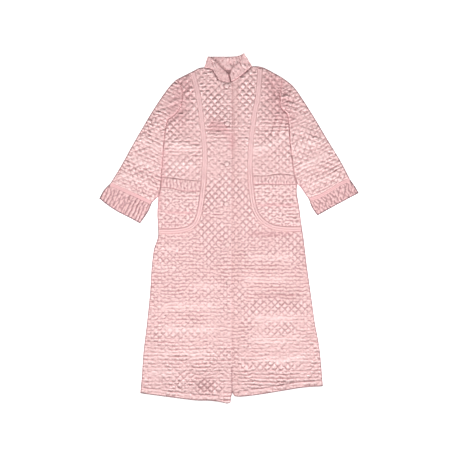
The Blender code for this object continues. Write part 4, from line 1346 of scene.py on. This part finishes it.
def addCollar():
    parts = (collar[key] for key in ("rightWing", "back", "leftWing"))
    right, back, left = (smoothCurve(np.multiply(part, mm), collar["step"]) for part in parts)
    turns = [math.pi * k / collar["folds"] for k in range(1, collar["folds"] + 1)]
    stations = [(row, 0.0) for row in right] + [(right[-1], turn) for turn in turns]
    stations += [(row, math.pi) for row in back[1:]] + [(back[-1], math.pi - turn) for turn in turns]
    stations += [(row, 0.0) for row in left[1:]]
    foot = np.array([row[:2] for row, _ in stations])[:, None]
    top = np.array([row[2:] for row, _ in stations])[:, None]
    turn = np.array([turn for _, turn in stations])[:, None]
    long = np.linalg.norm(top - foot, axis=2)
    up = (top - foot) / long[..., None]
    foot = foot + up * layers["gap"]
    outwards = np.stack([up[..., 1], -up[..., 0]], axis=2) * np.where(foot[..., :1] > 0, 1, -1)
    v = np.linspace(0, 1, collar["rows"] + 1)[None]
    # How far along the band each station lies, with the folds counted by their outer side
    walked = np.linalg.norm(np.diff((foot + top)[:, 0] / 2, axis=0), axis=1)
    walked = np.maximum(walked, np.abs(np.diff(turn[:, 0])) * collar["outer"])
    u = np.concatenate([[0], np.cumsum(walked)])[:, None]
    fromEnd = np.minimum(u, u[-1] - u)
    edge = np.minimum(np.minimum(v, 1 - v) * long, fromEnd)
    p, q = u / quilt["tall"] + v * long / quilt["wide"], u / quilt["tall"] - v * long / quilt["wide"]
    flat = np.stack([np.broadcast_to(u, p.shape).ravel(), (v * long).ravel()], axis=1)
    lie = SimpleNamespace(p=p.ravel(), q=q.ravel(), points=flat, local=flat)
    share = np.clip(collar["ridged"] + 0.4 * noise(flat, 35 * mm, 34), 0, 1)
    relief = quilting(lie, share, across=True) + creases(lie, across=True) / collar["puff"]
    relief = np.clip(relief.reshape(p.shape), -0.4, 1.5) * (0.2 + 0.8 * ease(edge / (4 * mm)))
    t = np.clip(edge / collar["edge"], 0, 1)
    round_ = 1 - 0.5 * (1 - t) ** 2
    middle, half = (collar["inner"] + collar["outer"]) / 2, (collar["outer"] - collar["inner"]) / 2
    facing = (1 + np.cos(turn)) / 2  # one where the outside faces up, nothing where it lies on the floor
    reachOut = middle + half * round_ + collar["puff"] * relief * facing
    groove = collar["groove"] * (1 - np.clip(relief * 1.6, 0, 1)) * ease(edge / (5 * mm))
    reachOut -= groove * (1 - facing)
    reachIn = middle - half * round_ - collar["insidePuff"] * relief * (1 - facing)
    vertices = []
    for reach in (reachOut, reachIn):
        place = foot + (top - foot) * v[..., None] + outwards * (np.sin(turn) * reach)[..., None]
        height = collar["middle"] + np.cos(turn) * reach
        vertices.append(np.concatenate([place, height[..., None]], axis=2).reshape(-1, 3))
    # Painted shade in the collar's hollows and a painted highlight on its puffs
    depth = np.clip(collar["paintedShade"] - collar["paintedHighlight"] * relief, 0, 1).ravel()
    atEdge = 1 - ease((edge - 1 * mm) / (4 * mm))
    rose = np.clip(collar["rose"] + collar["edgeRose"] * atEdge, 0, 1).ravel()
    shell = {
        "vertices": np.vstack(vertices),
        "faces": slabFaces(p.shape),
        "paintedShade": np.tile(depth, 2),
        "rose": np.tile(rose, 2),
        "lattice": np.tile(np.stack([p.ravel(), q.ravel()], axis=1), (2, 1)),
    }
    piece = placed(addMesh("standCollar", shell, "quiltedSatin"), "quilted_satin", "collar")


print("collar")
addCollar()


# Covered buttons

button = {
    "segments": 48,
    # From the foot up: how far out and how high, as shares of the button
    "rings": [
        (0.0, 0.0), (0.55, 0.0), (0.86, 0.04), (0.99, 0.18), (1.0, 0.34), (0.97, 0.5), (0.88, 0.68),
        (0.74, 0.83), (0.56, 0.93), (0.36, 0.98), (0.16, 1.0), (0.0, 1.0),
    ],
    "gathers": 17,
    "gatherDepth": 0.012,
    "paintedHighlight": 1.15,  # how fast its painted shade at the foot turns to a painted highlight on the way up
}


def addButton(number):
    low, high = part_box(f"button_{number}")
    middle, radius, tall = (low + high) / 2, (high.x - low.x) / 2, high.z - low.z
    rings = button["rings"][1:-1]
    angles = np.arange(button["segments"]) * 2 * math.pi / button["segments"]
    wave = button["gatherDepth"] * np.sin(button["gathers"] * angles + number)
    # A painted shadow at the foot of the button, paler up to a painted highlight on its top
    vertices, paintedShade = [(middle.x, middle.y, low.z)], [1.0]
    for out, up in rings:
        reach = radius * out * (1 + wave * (up > 0.1) * (1 - up))
        xs, ys = middle.x + reach * np.cos(angles), middle.y + reach * np.sin(angles)
        vertices += [(x, y, low.z + tall * up) for x, y in zip(xs, ys)]
        paintedShade += [max(0.0, 1.0 - up * button["paintedHighlight"])] * len(angles)
    vertices.append((middle.x, middle.y, low.z + tall))
    paintedShade.append(0.0)
    count, last = len(angles), len(vertices) - 1
    faces = []
    for k in range(count):
        following = (k + 1) % count
        starts = range(1, last, count)
        faces.append((0, 1 + following, 1 + k))
        for a in starts[:-1]:
            faces.append((a + k, a + following, a + count + following, a + count + k))
        faces.append((starts[-1] + k, starts[-1] + following, last))
    shell = {"vertices": np.array(vertices), "faces": faces, "paintedShade": np.array(paintedShade)}
    placed(addMesh(f"coveredButton_{number}", shell, "buttonSatin"), "covered_button", f"button_{number}")


print("buttons")
for number in buttons:
    addButton(number)


# Camera, light and floor

picture = {
    "pixels": 460,
    "pixelSize": 3.9 * mm,  # of the coat under one pixel
    "origin": (229.0, 228.5),  # the pixel over the frame's origin
    "lens": 85.0,
    "sensor": 36.0,
    "height": 9 * mm,  # of the plane that the picture measures
}


def addCamera():
    half = picture["pixels"] / 2
    x = (half - picture["origin"][0]) * picture["pixelSize"]
    y = (picture["origin"][1] - half) * picture["pixelSize"]
    data = bpy.data.cameras.new("camera")
    data.lens, data.sensor_width = picture["lens"], picture["sensor"]
    camera = linked("camera", data)
    away = picture["pixels"] * picture["pixelSize"] * picture["lens"] / picture["sensor"]
    camera.location = (x, y, picture["height"] + away)
    bpy.context.scene.camera = camera


studio = {
    "lampPlace": (0.0, -0.17, 0.62),
    "lampLong": 4.0,
    "lampWide": 0.12,
    "lampPower": 29.0,
    "ambient": 0.3,
    "floorSide": 40.0,
    "floorGlow": 0.8,
}


def addLight():
    # One long lamp across the coat, that lights its ends nearly as much as its middle, and a bright room
    data = bpy.data.lights.new("lamp", "AREA")
    data.shape, data.size, data.size_y = "RECTANGLE", studio["lampLong"], studio["lampWide"]
    data.energy, data.use_nodes = studio["lampPower"], True
    nodes, links = data.node_tree.nodes, data.node_tree.links
    falloff, path, even = (nodes.new(f"ShaderNode{kind}") for kind in ("LightFalloff", "LightPath", "Math"))
    falloff.inputs["Strength"].default_value = 1.0
    even.operation = "MULTIPLY"
    links.new(falloff.outputs["Constant"], even.inputs[0])
    links.new(path.outputs["Ray Length"], even.inputs[1])
    links.new(even.outputs[0], nodes["Emission"].inputs["Strength"])
    lamp = linked("lamp", data)
    lamp.location = studio["lampPlace"]
    lamp.visible_camera = False
    world = bpy.data.worlds.new("studio")
    world.use_nodes = True
    world.node_tree.nodes["Background"].inputs["Color"].default_value = (1, 1, 1, 1)
    world.node_tree.nodes["Background"].inputs["Strength"].default_value = studio["ambient"]
    bpy.context.scene.world = world
    bpy.context.scene.view_settings.view_transform = "Standard"


def addFloor():
    half = studio["floorSide"] / 2
    mesh = bpy.data.meshes.new("floor")
    places = [(x * half, y * half, 0) for x, y in ((-1, -1), (1, -1), (1, 1), (-1, 1))]
    mesh.from_pydata(places, [], [(0, 1, 2, 3)])
    finish = Finish("paleFloor")
    grain = finish.noise(6.0)
    finish.fix(Base_Color=finish.mix(grain, (0.88, 0.88, 0.88, 1), (0.92, 0.92, 0.92, 1)), Roughness=0.9)
    finish.fix(Emission_Color=(1, 1, 1, 1), Emission_Strength=studio["floorGlow"])
    mesh.materials.append(finish.material)
    floor = linked("floor", mesh)
    floor.location.z = -0.2 * mm


addCamera()
addLight()
addFloor()

print("finishing")
